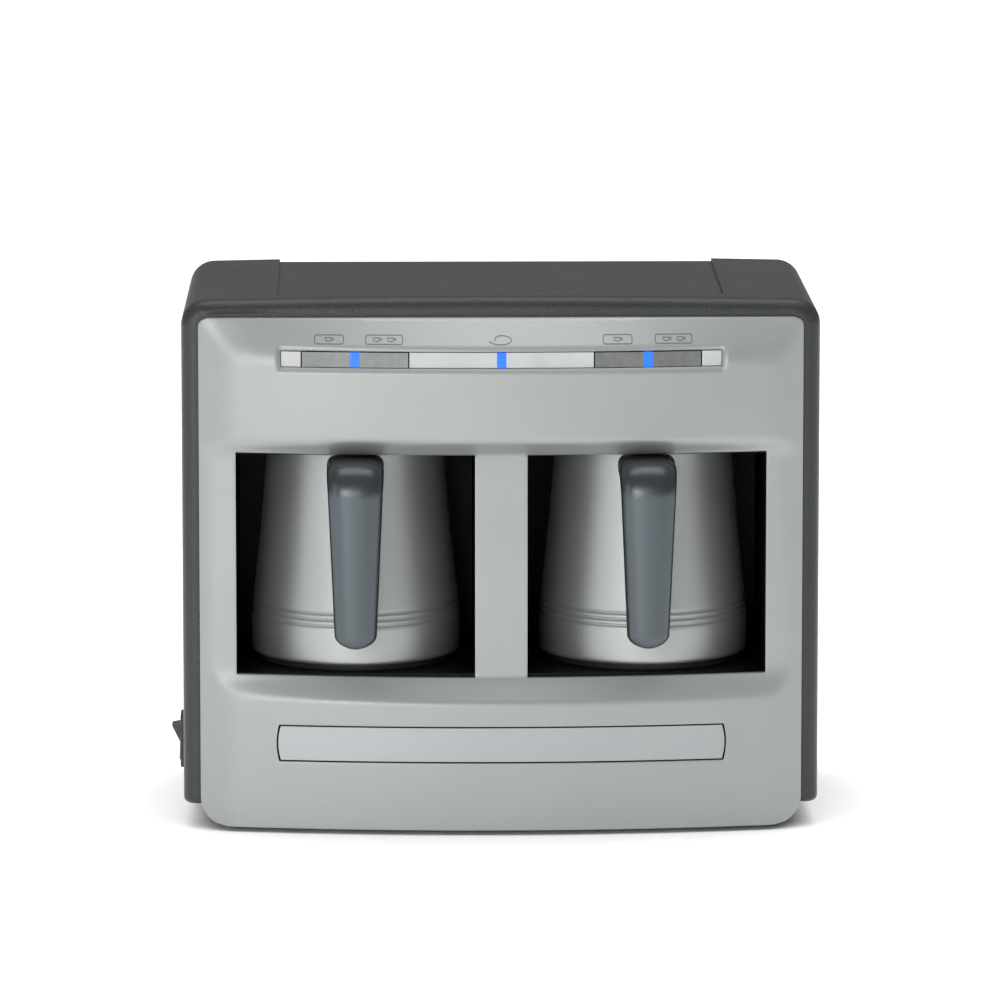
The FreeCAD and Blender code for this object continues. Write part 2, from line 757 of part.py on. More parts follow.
def groove_heights():
    first = SLEEVE_BOTTOM + POT_BAND
    return [first + i * POT_GROOVE_PITCH for i in range(POT_GROOVES)]


def cone_radius(z):
    low = groove_heights()[-1] + POT_GROOVE_PITCH
    share = (z - low) / (SLEEVE_TOP - low)
    return POT_CONE_RADIUS + (POT_NECK_RADIUS - POT_CONE_RADIUS) * share


def sleeve_outline():
    """Outer line of the sleeve from its foot to its neck, as (radius, height) points."""
    points = [(POT_BASE_RADIUS - 1.2, SLEEVE_BOTTOM), (POT_BASE_RADIUS, SLEEVE_BOTTOM + 1.4)]
    for i, z in enumerate(groove_heights()):
        radius = POT_BASE_RADIUS - 0.3 * i
        points.append((radius, z - 0.8))
        points.append((radius - POT_GROOVE_DEEP, z))
        points.append((radius - 0.1, z + 0.8))
    points.append((POT_CONE_RADIUS, groove_heights()[-1] + POT_GROOVE_PITCH))
    points.append((POT_NECK_RADIUS, SLEEVE_TOP))
    return points


def pot_sleeve(side):
    x = side * BAY_X
    low = groove_heights()[-1] + POT_GROOVE_PITCH
    inner = [
        (POT_NECK_RADIUS - POT_WALL, SLEEVE_TOP),
        (POT_CONE_RADIUS - POT_WALL, low),
        (POT_BASE_RADIUS - POT_WALL - POT_GROOVE_DEEP, low - 6),
        (POT_BASE_RADIUS - POT_WALL - POT_GROOVE_DEEP, SLEEVE_BOTTOM),
    ]
    shell = turned(sleeve_outline() + inner, x)
    half = PLUG_WIDTH / 2
    tall = PLUG_HEIGHT / 2
    notch = box(x - half, x + half, POT_Y + 30, POT_Y + 60, PLUG_Z - tall, PLUG_Z + tall)
    bolt = rod(x, POT_Y, HANDLE_SCREW_Z, SCREW_HOLE, 60, (0, -1, 0))
    return shell.cut(notch).cut(bolt)


def pot_vessel(side):
    """Inner vessel with a rim that is rolled over the sleeve."""
    x = side * BAY_X
    gap = POT_WALL + VESSEL_AIR
    floor = SLEEVE_BOTTOM + VESSEL_FLOOR
    low_radius = cone_radius(floor + 14) - gap - 1.5
    top_radius = POT_NECK_RADIUS - POT_WALL
    points = [
        (0, floor),
        (low_radius - 5, floor),
        (low_radius, floor + 5),
        (top_radius - VESSEL_AIR, SLEEVE_TOP - 3.5),
        (top_radius, SLEEVE_TOP - 2),
        (top_radius, SLEEVE_TOP),
        (POT_NECK_RADIUS + POT_RIM, SLEEVE_TOP),
        (POT_NECK_RADIUS + POT_RIM, SLEEVE_TOP + VESSEL_WALL),
        (top_radius - VESSEL_WALL, SLEEVE_TOP + VESSEL_WALL),
        (top_radius - VESSEL_WALL, SLEEVE_TOP - 2.4),
        (top_radius - VESSEL_AIR - VESSEL_WALL, SLEEVE_TOP - 3.9),
        (low_radius - VESSEL_WALL, floor + 5.4),
        (low_radius - 5.4, floor + VESSEL_WALL),
        (0, floor + VESSEL_WALL),
    ]
    return turned(points, x)


def pot_base(side):
    """Dark plastic foot that closes the pot below and carries the heater."""
    x = side * BAY_X
    inside = POT_BASE_RADIUS - POT_WALL - POT_GROOVE_DEEP
    points = [
        (0, POT_BOTTOM),
        (POT_BASE_RADIUS - 3.0, POT_BOTTOM),
        (POT_BASE_RADIUS - 2.2, SLEEVE_BOTTOM),
        (inside - 0.1, SLEEVE_BOTTOM),
        (inside - 0.1, SLEEVE_BOTTOM + 2.2),
        (HEATER_RADIUS + 2.0, SLEEVE_BOTTOM + 2.2),
        (HEATER_RADIUS + 2.0, HEATER_LOW + 2.0),
        (HEATER_RADIUS, HEATER_LOW + 2.0),
        (HEATER_RADIUS, HEATER_LOW),
        (HEATER_RADIUS - 4.0, HEATER_LOW),
        (HEATER_RADIUS - 4.0, SLEEVE_BOTTOM),
        (0, SLEEVE_BOTTOM),
    ]
    legs = box(x - 7.5, x + 7.5, POT_Y + 10, POT_Y + 38, SLEEVE_BOTTOM, HEATER_LOW + 3)
    return turned(points, x).cut(legs)


def pot_heater(side):
    x = side * BAY_X
    disc = rod(x, POT_Y, HEATER_LOW, HEATER_RADIUS - 0.1, HEATER_THICK, (0, 0, 1))
    ring = HEATER_RADIUS - COIL_INSET
    groove = Part.makeTorus(ring, COIL_RADIUS + 0.1, Vector(x, POT_Y, HEATER_LOW))
    return disc.cut(groove)


def heater_coil(side):
    x = side * BAY_X
    ring = Part.makeTorus(HEATER_RADIUS - COIL_INSET, COIL_RADIUS, Vector(x, POT_Y, HEATER_LOW))
    legs = [rod(x + d, POT_Y + 20, HEATER_LOW - 1.3, 1.2, 16, (0, 1, 0)) for d in (-5, 5)]
    gap = box(x - 4, x + 4, POT_Y + 10, POT_Y + 40, HEATER_LOW - 4, HEATER_LOW + 4)
    return ring.cut(gap).fuse(legs).removeSplitter()


def plug_block(side):
    x = side * BAY_X
    half = PLUG_WIDTH / 2 - 0.1
    tall = PLUG_HEIGHT / 2 - 0.1
    end = POT_Y + POT_BASE_RADIUS + 1.0
    return box(x - half, x + half, PLUG_FRONT, end, PLUG_Z - tall, PLUG_Z + tall)


def pot_plug(side):
    block = plug_block(side)
    for px in pin_places(side):
        block = block.cut(rod(px, PLUG_FRONT + 0.5, PLUG_Z, PIN_RADIUS, 20, (0, 1, 0)))
    return block


def plug_pins(side):
    solids = []
    start = PLUG_FRONT + 0.5
    length = SOCKET_FRONT + PIN_LENGTH - start
    for px in pin_places(side):
        solids.append(rod(px, start, PLUG_Z, PIN_RADIUS, length, (0, 1, 0)))
    return Part.makeCompound(solids)


def handle_section(x, width):
    """Rounded section of the handle in the plan, about its middle line at the grip."""
    half = width / 2
    thick = HANDLE_THICK / 2
    slab = box(x - half, x + half, -HANDLE_FRONT - thick, -HANDLE_FRONT + thick, 0, 1)
    corners = [e for e in slab.Edges if e.BoundBox.ZLength > 0.5]
    slab = slab.makeFillet(HANDLE_ROUND, corners)
    return min(slab.Faces, key=lambda face: face.CenterOfMass.z)


def handle_end(x):
    """Front outline of the handle with its round lower end."""
    top = HANDLE_TOP_WIDTH / 2 + 1
    foot = HANDLE_FOOT_WIDTH / 2
    high = HANDLE_ARM_Z + HANDLE_THICK
    end = HANDLE_BOTTOM + foot * 0.8
    y = -HANDLE_FRONT - 20
    p = [
        Vector(x - top, y, high),
        Vector(x - top, y, end + 10),
        Vector(x - foot, y, end),
        Vector(x, y, HANDLE_BOTTOM),
        Vector(x + foot, y, end),
        Vector(x + top, y, end + 10),
        Vector(x + top, y, high),
    ]
    edges = [line(p[0], p[1]), line(p[1], p[2]), arc(p[2], p[3], p[4]), line(p[4], p[5])]
    edges += [line(p[5], p[6]), line(p[6], p[0])]
    return Part.Face(Part.Wire(edges)).extrude(Vector(0, HANDLE_FRONT + 40, 0))


def handle_whole(side):
    """An arm from the neck, a bend and a tapering grip that hangs free."""
    x = side * BAY_X
    bend_y = HANDLE_BEND - HANDLE_FRONT
    low = HANDLE_ARM_Z - HANDLE_BEND
    wide = handle_section(x, HANDLE_TOP_WIDTH)
    wide.translate(Vector(0, 0, low))
    narrow = handle_section(x, HANDLE_FOOT_WIDTH)
    narrow.translate(Vector(0, 0, HANDLE_BOTTOM))
    grip = Part.makeLoft([wide.OuterWire, narrow.OuterWire], True, True)
    grip = grip.common(handle_end(x))
    bend = wide.revolve(Vector(x, bend_y, low), Vector(-1, 0, 0), 90)
    across = wide.copy()
    across.rotate(Vector(x, bend_y, low), Vector(-1, 0, 0), 90)
    arm = across.extrude(Vector(0, 12 - bend_y, 0))
    solid = arm.fuse([bend, grip]).removeSplitter()
    keep_out = turned([(0, 60), (POT_BASE_RADIUS, 60), *neck_guard(), (0, SLEEVE_TOP + 2)], x)
    return solid.cut(keep_out)


def neck_guard():
    """Outline that the handle's arm keeps clear of: the cone and the rim above it."""
    under = SLEEVE_TOP - 0.2
    rim = POT_NECK_RADIUS + POT_RIM + 0.2
    return [sleeve_outline()[-2], (cone_radius(under), under), (rim, under), (rim, SLEEVE_TOP + 2)]


def insert_space(side):
    """The space behind the handle's middle line, down to the foot of the insert."""
    x = side * BAY_X
    bend_y = HANDLE_BEND - HANDLE_FRONT
    low = HANDLE_ARM_Z - HANDLE_BEND
    a = Vector(x - 20, 20, HANDLE_ARM_Z - 1.5)
    b = Vector(x - 20, bend_y, HANDLE_ARM_Z - 1.5)
    r = HANDLE_BEND - 1.5
    c = Vector(x - 20, bend_y - r * math.sqrt(0.5), low + r * math.sqrt(0.5))
    d = Vector(x - 20, bend_y - r, low)
    e = Vector(x - 20, bend_y - r, INSERT_BOTTOM)
    f = Vector(x - 20, 20, INSERT_BOTTOM)
    edges = [line(a, b), arc(b, c, d), line(d, e), line(e, f), line(f, a)]
    return Part.Face(Part.Wire(edges)).extrude(Vector(40, 0, 0))


def pot_handle(side):
    grip = handle_whole(side).cut(insert_space(side))
    x = side * BAY_X
    return grip.cut(rod(x, POT_Y, HANDLE_SCREW_Z, SCREW_HOLE, POT_Y + 12, (0, -1, 0)))


def handle_insert(side):
    x = side * BAY_X
    part = handle_whole(side).common(insert_space(side))
    return part.cut(rod(x, POT_Y, HANDLE_SCREW_Z, SCREW_HOLE, POT_Y + 12, (0, -1, 0)))


def handle_screw(side):
    x = side * BAY_X
    seat = POT_Y - cone_radius(HANDLE_SCREW_Z) + POT_WALL + HANDLE_SCREW_SEAT
    shank = rod(x, seat, HANDLE_SCREW_Z, SCREW_RADIUS, seat + 11, (0, -1, 0))
    head = rod(x, seat, HANDLE_SCREW_Z, SCREW_HEAD, HANDLE_SCREW_HEAD, (0, 1, 0))
    return shank.fuse(head).removeSplitter()


# Base, back cover and feet
def base_half():
    return WRAP_HALF - WRAP_FLANGE - FIT


def foot_places():
    x = base_half() - FOOT_RADIUS - 6
    return [(side * x, y) for side in BOTH for y in (FOOT_FRONT, WRAP_DEPTH - FOOT_BACK)]


def base_plate():
    half = base_half()
    flange_low = WRAP_BOTTOM + FLANGE_THICK
    y1 = COVER_BACK - COVER_THICK - FIT
    tray = box(-half, half, FIT, y1, BASE_BOTTOM, flange_low)
    inside = half - BASE_WALL
    floor = BASE_BOTTOM + BASE_WALL
    pocket = box(-inside, inside, FIT + BASE_WALL, y1 - BASE_WALL, floor, 40)
    out = WRAP_HALF - WRAP_WALL - WRAP_DRAFT - FIT
    flange = box(-out, out, WRAP_RIM + FIT, y1, flange_low, flange_low + BASE_WALL)
    tray = tray.fuse(flange).removeSplitter().cut(pocket)
    for x, y in base_screw_places():
        tray = tray.cut(rod(x, y, 0, SCREW_HOLE, 40, (0, 0, 1)))
    for x, y in foot_places():
        tray = tray.cut(rod(x, y, 0, FOOT_RADIUS - 4, 20, (0, 0, 1)))
    slots = [
        box(x - 1.5, x + 1.5, 60, 100, BASE_BOTTOM - 1, BASE_BOTTOM + BASE_WALL + 1)
        for x in range(-40, 41, 10)
    ]
    return tray.cut(slots)


def base_screws():
    solids = []
    for x, y in base_screw_places():
        head_top = WRAP_BOTTOM + SCREW_HEAD_THICK
        solids.append(screw(x, y, head_top, 6.0, (0, 0, 1)))
    return Part.makeCompound(solids)


def rubber_feet():
    solids = []
    for x, y in foot_places():
        pad = rod(x, y, 0, FOOT_RADIUS, BASE_BOTTOM, (0, 0, 1))
        low = [e for e in pad.Edges if e.BoundBox.ZMax < 0.1 and e.BoundBox.XLength > 1]
        pad = pad.makeChamfer(1.0, low)
        stem = rod(x, y, BASE_BOTTOM, FOOT_RADIUS - 4.05, BASE_WALL, (0, 0, 1))
        head = rod(x, y, BASE_BOTTOM + BASE_WALL, FOOT_RADIUS - 2.5, 1.5, (0, 0, 1))
        solids.append(pad.fuse([stem, head]).removeSplitter())
    return Part.makeCompound(solids)


def rear_cover():
    y0 = COVER_BACK - COVER_THICK
    y1 = COVER_BACK
    low = WRAP_BOTTOM + FLANGE_THICK + FIT
    inset = WRAP_WALL + FIT
    plate = wrap_block(y0, y1, inset, WRAP_ROOF + FIT, low, WRAP_CORNER - inset)
    cuts = [rod(x, y0 - 1, z, SCREW_HOLE, 10, (0, 1, 0)) for x, z in rear_boss_places()]
    for z in VENT_ROWS:
        for i in range(-6, 7):
            x = i * VENT_PITCH
            half = VENT_WIDTH / 2
            cuts.append(box(x - half, x + half, y0 - 1, y1 + 1, z, z + VENT_TALL))
    cuts.append(rod(GLAND_X, y0 - 1, GLAND_Z, GLAND_RADIUS + 0.05, 10, (0, 1, 0)))
    return plate.cut(cuts)


def rear_screws():
    places = rear_boss_places()
    return Part.makeCompound([screw(x, COVER_BACK, z, 13.0, (0, -1, 0)) for x, z in places])


def cord_gland():
    """Gland for the mains lead in the back cover. The lead itself isn't part of the model."""
    y1 = COVER_BACK
    barrel = rod(GLAND_X, y1 - 10, GLAND_Z, GLAND_RADIUS, 10 + GLAND_OUT + COVER_INSET, (0, 1, 0))
    flange = rod(GLAND_X, y1, GLAND_Z, GLAND_RADIUS + 3, 2.0, (0, 1, 0))
    nut = rod(GLAND_X, y1 - COVER_THICK - 4, GLAND_Z, GLAND_RADIUS + 3, 4, (0, 1, 0))
    bore = rod(GLAND_X, y1 - 11, GLAND_Z, GLAND_BORE, 30, (0, 1, 0))
    return barrel.fuse([flange, nut]).removeSplitter().cut(bore)


# Power switch
def power_cutout():
    tall = BEZEL_HEIGHT / 2 - 1.8
    wide = BEZEL_WIDTH / 2 - 1.2
    return box(
        -WRAP_HALF - 1,
        -WRAP_HALF + 8,
        POWER_Y - wide,
        POWER_Y + wide,
        POWER_Z - tall,
        POWER_Z + tall,
    )


def power_switch_body():
    tall = BEZEL_HEIGHT / 2
    wide = BEZEL_WIDTH / 2
    face = -WRAP_HALF - BEZEL_THICK
    bezel = box(face, -WRAP_HALF, POWER_Y - wide, POWER_Y + wide, POWER_Z - tall, POWER_Z + tall)
    rounded = [e for e in bezel.Edges if e.BoundBox.XLength > 1]
    bezel = bezel.makeFillet(2.0, rounded)
    front = [e for e in bezel.Edges if e.BoundBox.XMax < face + 0.01]
    bezel = bezel.makeFillet(0.8, front)
    can = box(
        -WRAP_HALF,
        -WRAP_HALF + 22,
        POWER_Y - wide + 1.4,
        POWER_Y + wide - 1.4,
        POWER_Z - tall + 2,
        POWER_Z + tall - 2,
    )
    hole_tall = ROCKER_RADIUS + FIT
    hole_wide = ROCKER_WIDTH / 2 + FIT
    hole = box(
        face - 1,
        -WRAP_HALF + 13,
        POWER_Y - hole_wide,
        POWER_Y + hole_wide,
        POWER_Z - hole_tall,
        POWER_Z + hole_tall,
    )
    tabs = [
        box(-WRAP_HALF + 22, -WRAP_HALF + 29, POWER_Y - 3, POWER_Y + 3, z - 0.4, z + 0.4)
        for z in (POWER_Z - 6, POWER_Z + 6)
    ]
    body = bezel.fuse([can] + tabs).removeSplitter().cut(hole)
    pin_hole = rod(
        rocker_pivot_x(), POWER_Y - 8, POWER_Z, ROCKER_PIN + RUNNING_FIT, 16, (0, 1, 0)
    )
    return body.cut(pin_hole)


def rocker_pivot_x():
    return -WRAP_HALF + 0.5


def power_switch_rocker():
    """Rocker with a valley across its face and round ends, tilted with its upper end out."""
    out = ROCKER_OUT
    end = math.sqrt(ROCKER_RADIUS**2 - out**2)
    wide = ROCKER_WIDTH / 2
    disc = rod(0, -wide, 0, ROCKER_RADIUS, ROCKER_WIDTH, (0, 1, 0))
    outline = [
        Vector(-out, -wide, end),
        Vector(-ROCKER_VALLEY, -wide, 0),
        Vector(-out, -wide, -end),
        Vector(3.5, -wide, -end),
        Vector(3.5, -wide, end),
    ]
    wedge = Part.Face(Part.makePolygon(outline + [outline[0]])).extrude(Vector(0, ROCKER_WIDTH, 0))
    body = disc.common(wedge)
    half_pin = wide + 0.9
    pins = rod(0, -half_pin, 0, ROCKER_PIN, 2 * half_pin, (0, 1, 0))
    body = body.fuse(pins).removeSplitter()
    turn = Matrix()
    turn.rotateY(-math.radians(ROCKER_TILT))
    turn.move(Vector(rocker_pivot_x(), POWER_Y, POWER_Z))
    return body.transformGeometry(turn)


# Electronics on the base
def power_board():
    half = POWER_BOARD_HALF
    top = POWER_BOARD_LOW + BOARD_THICK
    return box(-half, half, POWER_BOARD_FRONT, POWER_BOARD_BACK, POWER_BOARD_LOW, top)


def board_posts():
    floor = BASE_BOTTOM + BASE_WALL
    reach = POWER_BOARD_HALF - POST_INSET
    depths = (POWER_BOARD_FRONT + POST_INSET, POWER_BOARD_BACK - POST_INSET)
    places = [(side * reach, y) for side in BOTH for y in depths]
    tall = POWER_BOARD_LOW - floor
    solids = [rod(x, y, floor, POST_RADIUS, tall, (0, 0, 1)) for x, y in places]
    return Part.makeCompound(solids)


def on_board(x0, x1, y0, y1, tall):
    low = POWER_BOARD_LOW + BOARD_THICK
    return box(x0, x1, y0, y1, low, low + tall)


def transformer():
    core = on_board(-48, -12, 70, 102, 27)
    low = POWER_BOARD_LOW + BOARD_THICK
    coil = box(-42, -18, 66, 106, low + 4, low + 23)
    return core.fuse(coil).removeSplitter()


def relays():
    return Part.makeCompound([on_board(x, x + 20, 70, 86, 16) for x in (0, 26)])


def capacitors():
    solids = []
    low = POWER_BOARD_LOW + BOARD_THICK
    for x, y, r, h in ((2, 100, 5, 18), (16, 100, 5, 18), (30, 101, 4, 12)):
        solids.append(rod(x, y, low, r, h, (0, 0, 1)))
    return Part.makeCompound(solids)


def terminal_block():
    block = on_board(18, 56, 114, 128, 13)
    low = POWER_BOARD_LOW + BOARD_THICK
    wells = [rod(x, 121, low + 9, 2.2, 6, (0, 0, 1)) for x in (24, 33.5, 43, 52)]
    return block.cut(wells)


def buzzer():
    low = POWER_BOARD_LOW + BOARD_THICK
    can = rod(-50, 122, low, 6, 8, (0, 0, 1))
    return can.cut(rod(-50, 122, low + 5, 1.2, 6, (0, 0, 1)))


def origin_shift():
    """How far the middle of the whole object's box lies from the middle of the front rim."""
    rocker = ROCKER_RADIUS * math.cos(math.acos(ROCKER_OUT / ROCKER_RADIUS) - math.radians(ROCKER_TILT))
    left = rocker_pivot_x() - rocker
    right = WRAP_HALF
    front = -HANDLE_FRONT - HANDLE_THICK / 2
    back = WRAP_DEPTH + GLAND_OUT
    return Vector(-(left + right) / 2, -(front + back) / 2, 0)


def nodes():
    found = {
        "outer_wrap": outer_wrap(),
        "front_panel": front_panel(),
        "panel_screws": panel_screws(),
        "nameplate": nameplate(),
        "button_trim": button_trim(),
        "button_pivot_pins": pivot_pins(),
        "indicator_lens": indicator_lens(),
        "control_board": control_board(),
        "board_brackets": board_brackets(),
        "tact_switches": tact_switches(),
        "indicator_leds": indicator_leds(),
        "base_plate": base_plate(),
        "base_screws": base_screws(),
        "rubber_feet": rubber_feet(),
        "rear_cover": rear_cover(),
        "rear_screws": rear_screws(),
        "cord_gland": cord_gland(),
        "power_switch_body": power_switch_body(),
        "power_switch_rocker": power_switch_rocker(),
        "power_board": power_board(),
        "board_posts": board_posts(),
        "transformer": transformer(),
        "relays": relays(),
        "capacitors": capacitors(),
        "terminal_block": terminal_block(),
        "buzzer": buzzer(),
    }
    per_side = {
        "bay_liner": bay_liner,
        "sensor_window": sensor_window,
        "sensor_housing": sensor_housing,
        "power_socket": power_socket,
        "socket_contacts": socket_contacts,
        "button": button,
        "button_lens": button_lens,
        "pot_sleeve": pot_sleeve,
        "pot_vessel": pot_vessel,
        "pot_base": pot_base,
        "pot_heater": pot_heater,
        "heater_coil": heater_coil,
        "pot_plug": pot_plug,
        "plug_pins": plug_pins,
        "pot_handle": pot_handle,
        "handle_insert": handle_insert,
        "handle_screw": handle_screw,
    }
    for name, make in per_side.items():
        for word, side in SIDES.items():
            found[f"{name}_{word}"] = make(side)
    return found


os.makedirs("parts", exist_ok=True)
for node, shape in nodes().items():
    shape.translate(origin_shift())
    shape.exportStep(f"parts/{node}.step")
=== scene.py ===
import json
import math

import bmesh
import bpy
import numpy as np
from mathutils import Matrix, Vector


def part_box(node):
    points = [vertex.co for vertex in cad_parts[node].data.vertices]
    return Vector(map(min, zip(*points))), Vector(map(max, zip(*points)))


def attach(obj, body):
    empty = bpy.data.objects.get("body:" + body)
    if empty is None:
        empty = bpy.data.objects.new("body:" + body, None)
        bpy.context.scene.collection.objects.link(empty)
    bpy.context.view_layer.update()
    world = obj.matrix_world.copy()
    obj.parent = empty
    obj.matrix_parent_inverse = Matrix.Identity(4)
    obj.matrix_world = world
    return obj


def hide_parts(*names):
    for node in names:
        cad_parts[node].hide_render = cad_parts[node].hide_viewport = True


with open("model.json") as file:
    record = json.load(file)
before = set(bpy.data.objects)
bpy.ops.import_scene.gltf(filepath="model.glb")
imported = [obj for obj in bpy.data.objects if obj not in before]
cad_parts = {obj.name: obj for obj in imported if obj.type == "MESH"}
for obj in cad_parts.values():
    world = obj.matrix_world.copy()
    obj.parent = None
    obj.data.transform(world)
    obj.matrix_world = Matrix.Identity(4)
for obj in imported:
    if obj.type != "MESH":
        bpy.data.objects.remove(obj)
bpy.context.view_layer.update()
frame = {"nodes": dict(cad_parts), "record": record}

MM = 0.001
nodes = frame["nodes"]

# Places of the frame: the middle of the wrap across, and the plane of its front rim
wrap_low, wrap_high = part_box("outer_wrap")
ORIGIN_X = (wrap_low.x + wrap_high.x) / 2
RIM_Y = wrap_low.y
sleeve_low, sleeve_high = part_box("pot_sleeve_right")
BAY_X = ((sleeve_low.x + sleeve_high.x) / 2 - ORIGIN_X) / MM
POT_Y = ((sleeve_low.y + sleeve_high.y) / 2 - RIM_Y) / MM
SLEEVE_BOTTOM = sleeve_low.z / MM
SLEEVE_TOP = sleeve_high.z / MM
panel_low, panel_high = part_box("front_panel")
PANEL_BOTTOM = panel_low.z / MM
PANEL_TOP = panel_high.z / MM
PANEL_HALF = (panel_high.x - panel_low.x) / 2 / MM
FACE_MIDDLE = (RIM_Y - panel_low.y) / MM
SIDES = {"left": -1, "right": 1}

# Front panel, in millimetres from the wrap's middle and rim. A pair of heights holds the one
# in the middle and the one at FACE_HALF.
PANEL_WALL = 3.0
PANEL_EDGE = 2.5
PANEL_COLUMN = 1.6
PANEL_ROW = 1.3
OUTER_BAND = 15.0
CORNER_BAND = 6.0
EDGE_REACH = 1.0
FACE_HALF = 128.0
FACE_SIDE = 8.5
WAIST_BACK = 10.0
WAIST_HALF = 136.5
TOP_FRONT = 3.2
LEDGE_LOW = (63.3, 65.7)
LEDGE_HIGH = (73.6, 75.2)
LIP_LOW = (179.6, 180.8)
LIP_HIGH = (186.9, 185.3)
HOOD_CREASE = (227.2, 226.2)
TOP_RADIUS = 4.0
FOOT_RADIUS = 13.0
WAIST_BLEND = 1.6
SHELF_BLEND = 0.5
SIDE_BLEND = 1.3
TOP_BLEND = 2.2
LOW_BLEND = 1.2
HIGH_BLEND = 2.4
BLEND_FROM = 80.0
BLEND_TO = 160.0
SILL_REACH = 6.0
HEAD_REACH = 5.0
WINDOW_IN = 12.3
WINDOW_OUT = 124.5
SLOT_LOW = 221.6
SLOT_HIGH = 229.2
SLOT_HALF = 103.2
SLOT_BEVEL = 1.8
SLOT_BEVEL_DEEP = 1.5
PLATE_DEEP = 1.9
PLATE_END_BOW = 1.2
PLATE_GAP = 0.75
PLATE_END_REACH = 6.0
plate_low, plate_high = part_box("nameplate")
PLATE_HALF = (plate_high.x - plate_low.x) / 2 / MM - PLATE_END_BOW + PLATE_GAP
PLATE_LOW = plate_low.z / MM - PLATE_GAP
PLATE_HIGH = plate_high.z / MM + PLATE_GAP

# Pot sleeves and handles
BAND_RADIUS = 49.5
GROOVE_HEIGHTS = (97.0, 99.9, 102.8)
GROOVE_STEP = 2.9
GROOVE_HALF = 0.62
GROOVE_DEEP = 0.75
GROOVE_FALL = 0.3
CONE_HOLLOW = 1.3
NECK_RADIUS = 42.1
NECK_LIP = 1.6
NECK_LIP_DEEP = 8.0
HANDLE_FRONT = 27.7
HANDLE_BEND = 9.7
HANDLE_HALF_THICK = 6.3
HANDLE_BOTTOM = 91.0
HANDLE_END = 6.4
ARM_DROP = 5.4
ARM_IN_NECK = 0.4
ARM_Z = SLEEVE_TOP - ARM_DROP
ARM_START = POT_Y - NECK_RADIUS + ARM_IN_NECK
HANDLE_ARM = ARM_START + HANDLE_FRONT - HANDLE_BEND
HANDLE_QUARTER = HANDLE_BEND * math.pi / 2
HANDLE_LENGTH = HANDLE_ARM + HANDLE_QUARTER + (ARM_Z - HANDLE_BEND - HANDLE_BOTTOM)
SHELL_WALL = 0.7
SHELL_BACK = 4.4
SHELL_START = 1.2
SHELL_ARCH = 2.2
SHELL_HALF_WIDTH = 13.5
SHELL_TAPER = 3.9
SHELL_TAPER_LENGTH = 88.0
CORE_BOTTOM = 125.0
CORE_HALF_WIDTH = 13.4
CORE_TAPER = 3.0
CORE_FRONT = 6.0
CORE_DROP = 4.2
CORE_DROP_FROM = 0.5
CORE_DROP_TO = 8.0

# Printed signs over the slot: place across and number of bowls of each frame
PRINT_HEIGHT = 234.5
PRINT_LINE = 0.46
PRINT_LIFT = 0.1
PRINT_FRAMES = ((-80.5, 1), (-54.8, 2), (54.3, 1), (80.5, 2))
FRAME_WIDE = {1: 13.4, 2: 17.2}
FRAME_TALL = 3.9
FRAME_RADIUS = 1.0
BOWL_PITCH = 6.6
CURL_HALF_WIDE = 4.6
CURL_HALF_TALL = 1.9

# Widths of the small round edges, and pieces of the CAD model that get them
PANEL_ROUND = 0.7
CORE_ROUND = 0.6
WRAP_ROUND = 0.6
SMALL_ROUND = 0.25
SOFT_NODES = (
    "nameplate", "button_left", "button_right", "button_trim", "power_switch_body",
    "power_switch_rocker", "cord_gland", "rear_cover",
)

# Floor's half width in metres, and the even light of the surroundings
FLOOR_HALF = 6.0
WORLD_LIGHT = 0.22
LIGHT_AIM = (0, 0, 0.13)

# Camera: where it stands round the object, and the lens that gives the photograph's frame
CAMERA_AZIMUTH = -1.0
CAMERA_ELEVATION = 9.0
CAMERA_DISTANCE = 3.6
CAMERA_AIM = (-0.47, 0.0, 156.8)
CAMERA_LENS = 275.8
CAMERA_SENSOR = 36
CAMERA_REACH = 50


def at(x, y, z):
    """A point given in millimetres from the wrap's middle, its rim and the table."""
    return Vector((ORIGIN_X + x * MM, RIM_Y + y * MM, z * MM))


def add_mesh(name, points, faces, material, body, smooth=True):
    """A piece of the visual model, which rides on a body and fills a material slot."""
    mesh = bpy.data.meshes.new(name)
    mesh.from_pydata([tuple(p) for p in points], [], faces)
    mesh.materials.append(material)
    obj = bpy.data.objects.new(name, mesh)
    bpy.context.scene.collection.objects.link(obj)
    if smooth:
        mesh.polygons.foreach_set("use_smooth", [True] * len(mesh.polygons))
    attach(obj, body)
    return obj


def outward(obj):
    """Turns every face of a closed piece to point outward."""
    edit = bmesh.new()
    edit.from_mesh(obj.data)
    bmesh.ops.recalc_face_normals(edit, faces=edit.faces)
    edit.to_mesh(obj.data)
    edit.free()


# Materials
def new_material(name, color, roughness, metallic=0.0, **sockets):
    """A plain material. Further sockets are named with underscores for their spaces."""
    mat = bpy.data.materials.new(name)
    mat.use_nodes = True
    shader = mat.node_tree.nodes["Principled BSDF"]
    shader.inputs["Base Color"].default_value = (*color, 1)
    shader.inputs["Roughness"].default_value = roughness
    shader.inputs["Metallic"].default_value = metallic
    for key, value in sockets.items():
        shader.inputs[key.replace("_", " ")].default_value = value
    return mat


def object_coords(mat, scale=(1, 1, 1)):
    """The piece's own coordinates, in metres and scaled along each axis."""
    tree = mat.node_tree
    coords = tree.nodes.new("ShaderNodeTexCoord")
    mapping = tree.nodes.new("ShaderNodeMapping")
    mapping.inputs["Scale"].default_value = scale
    tree.links.new(coords.outputs["Object"], mapping.inputs["Vector"])
    return mapping.outputs["Vector"]


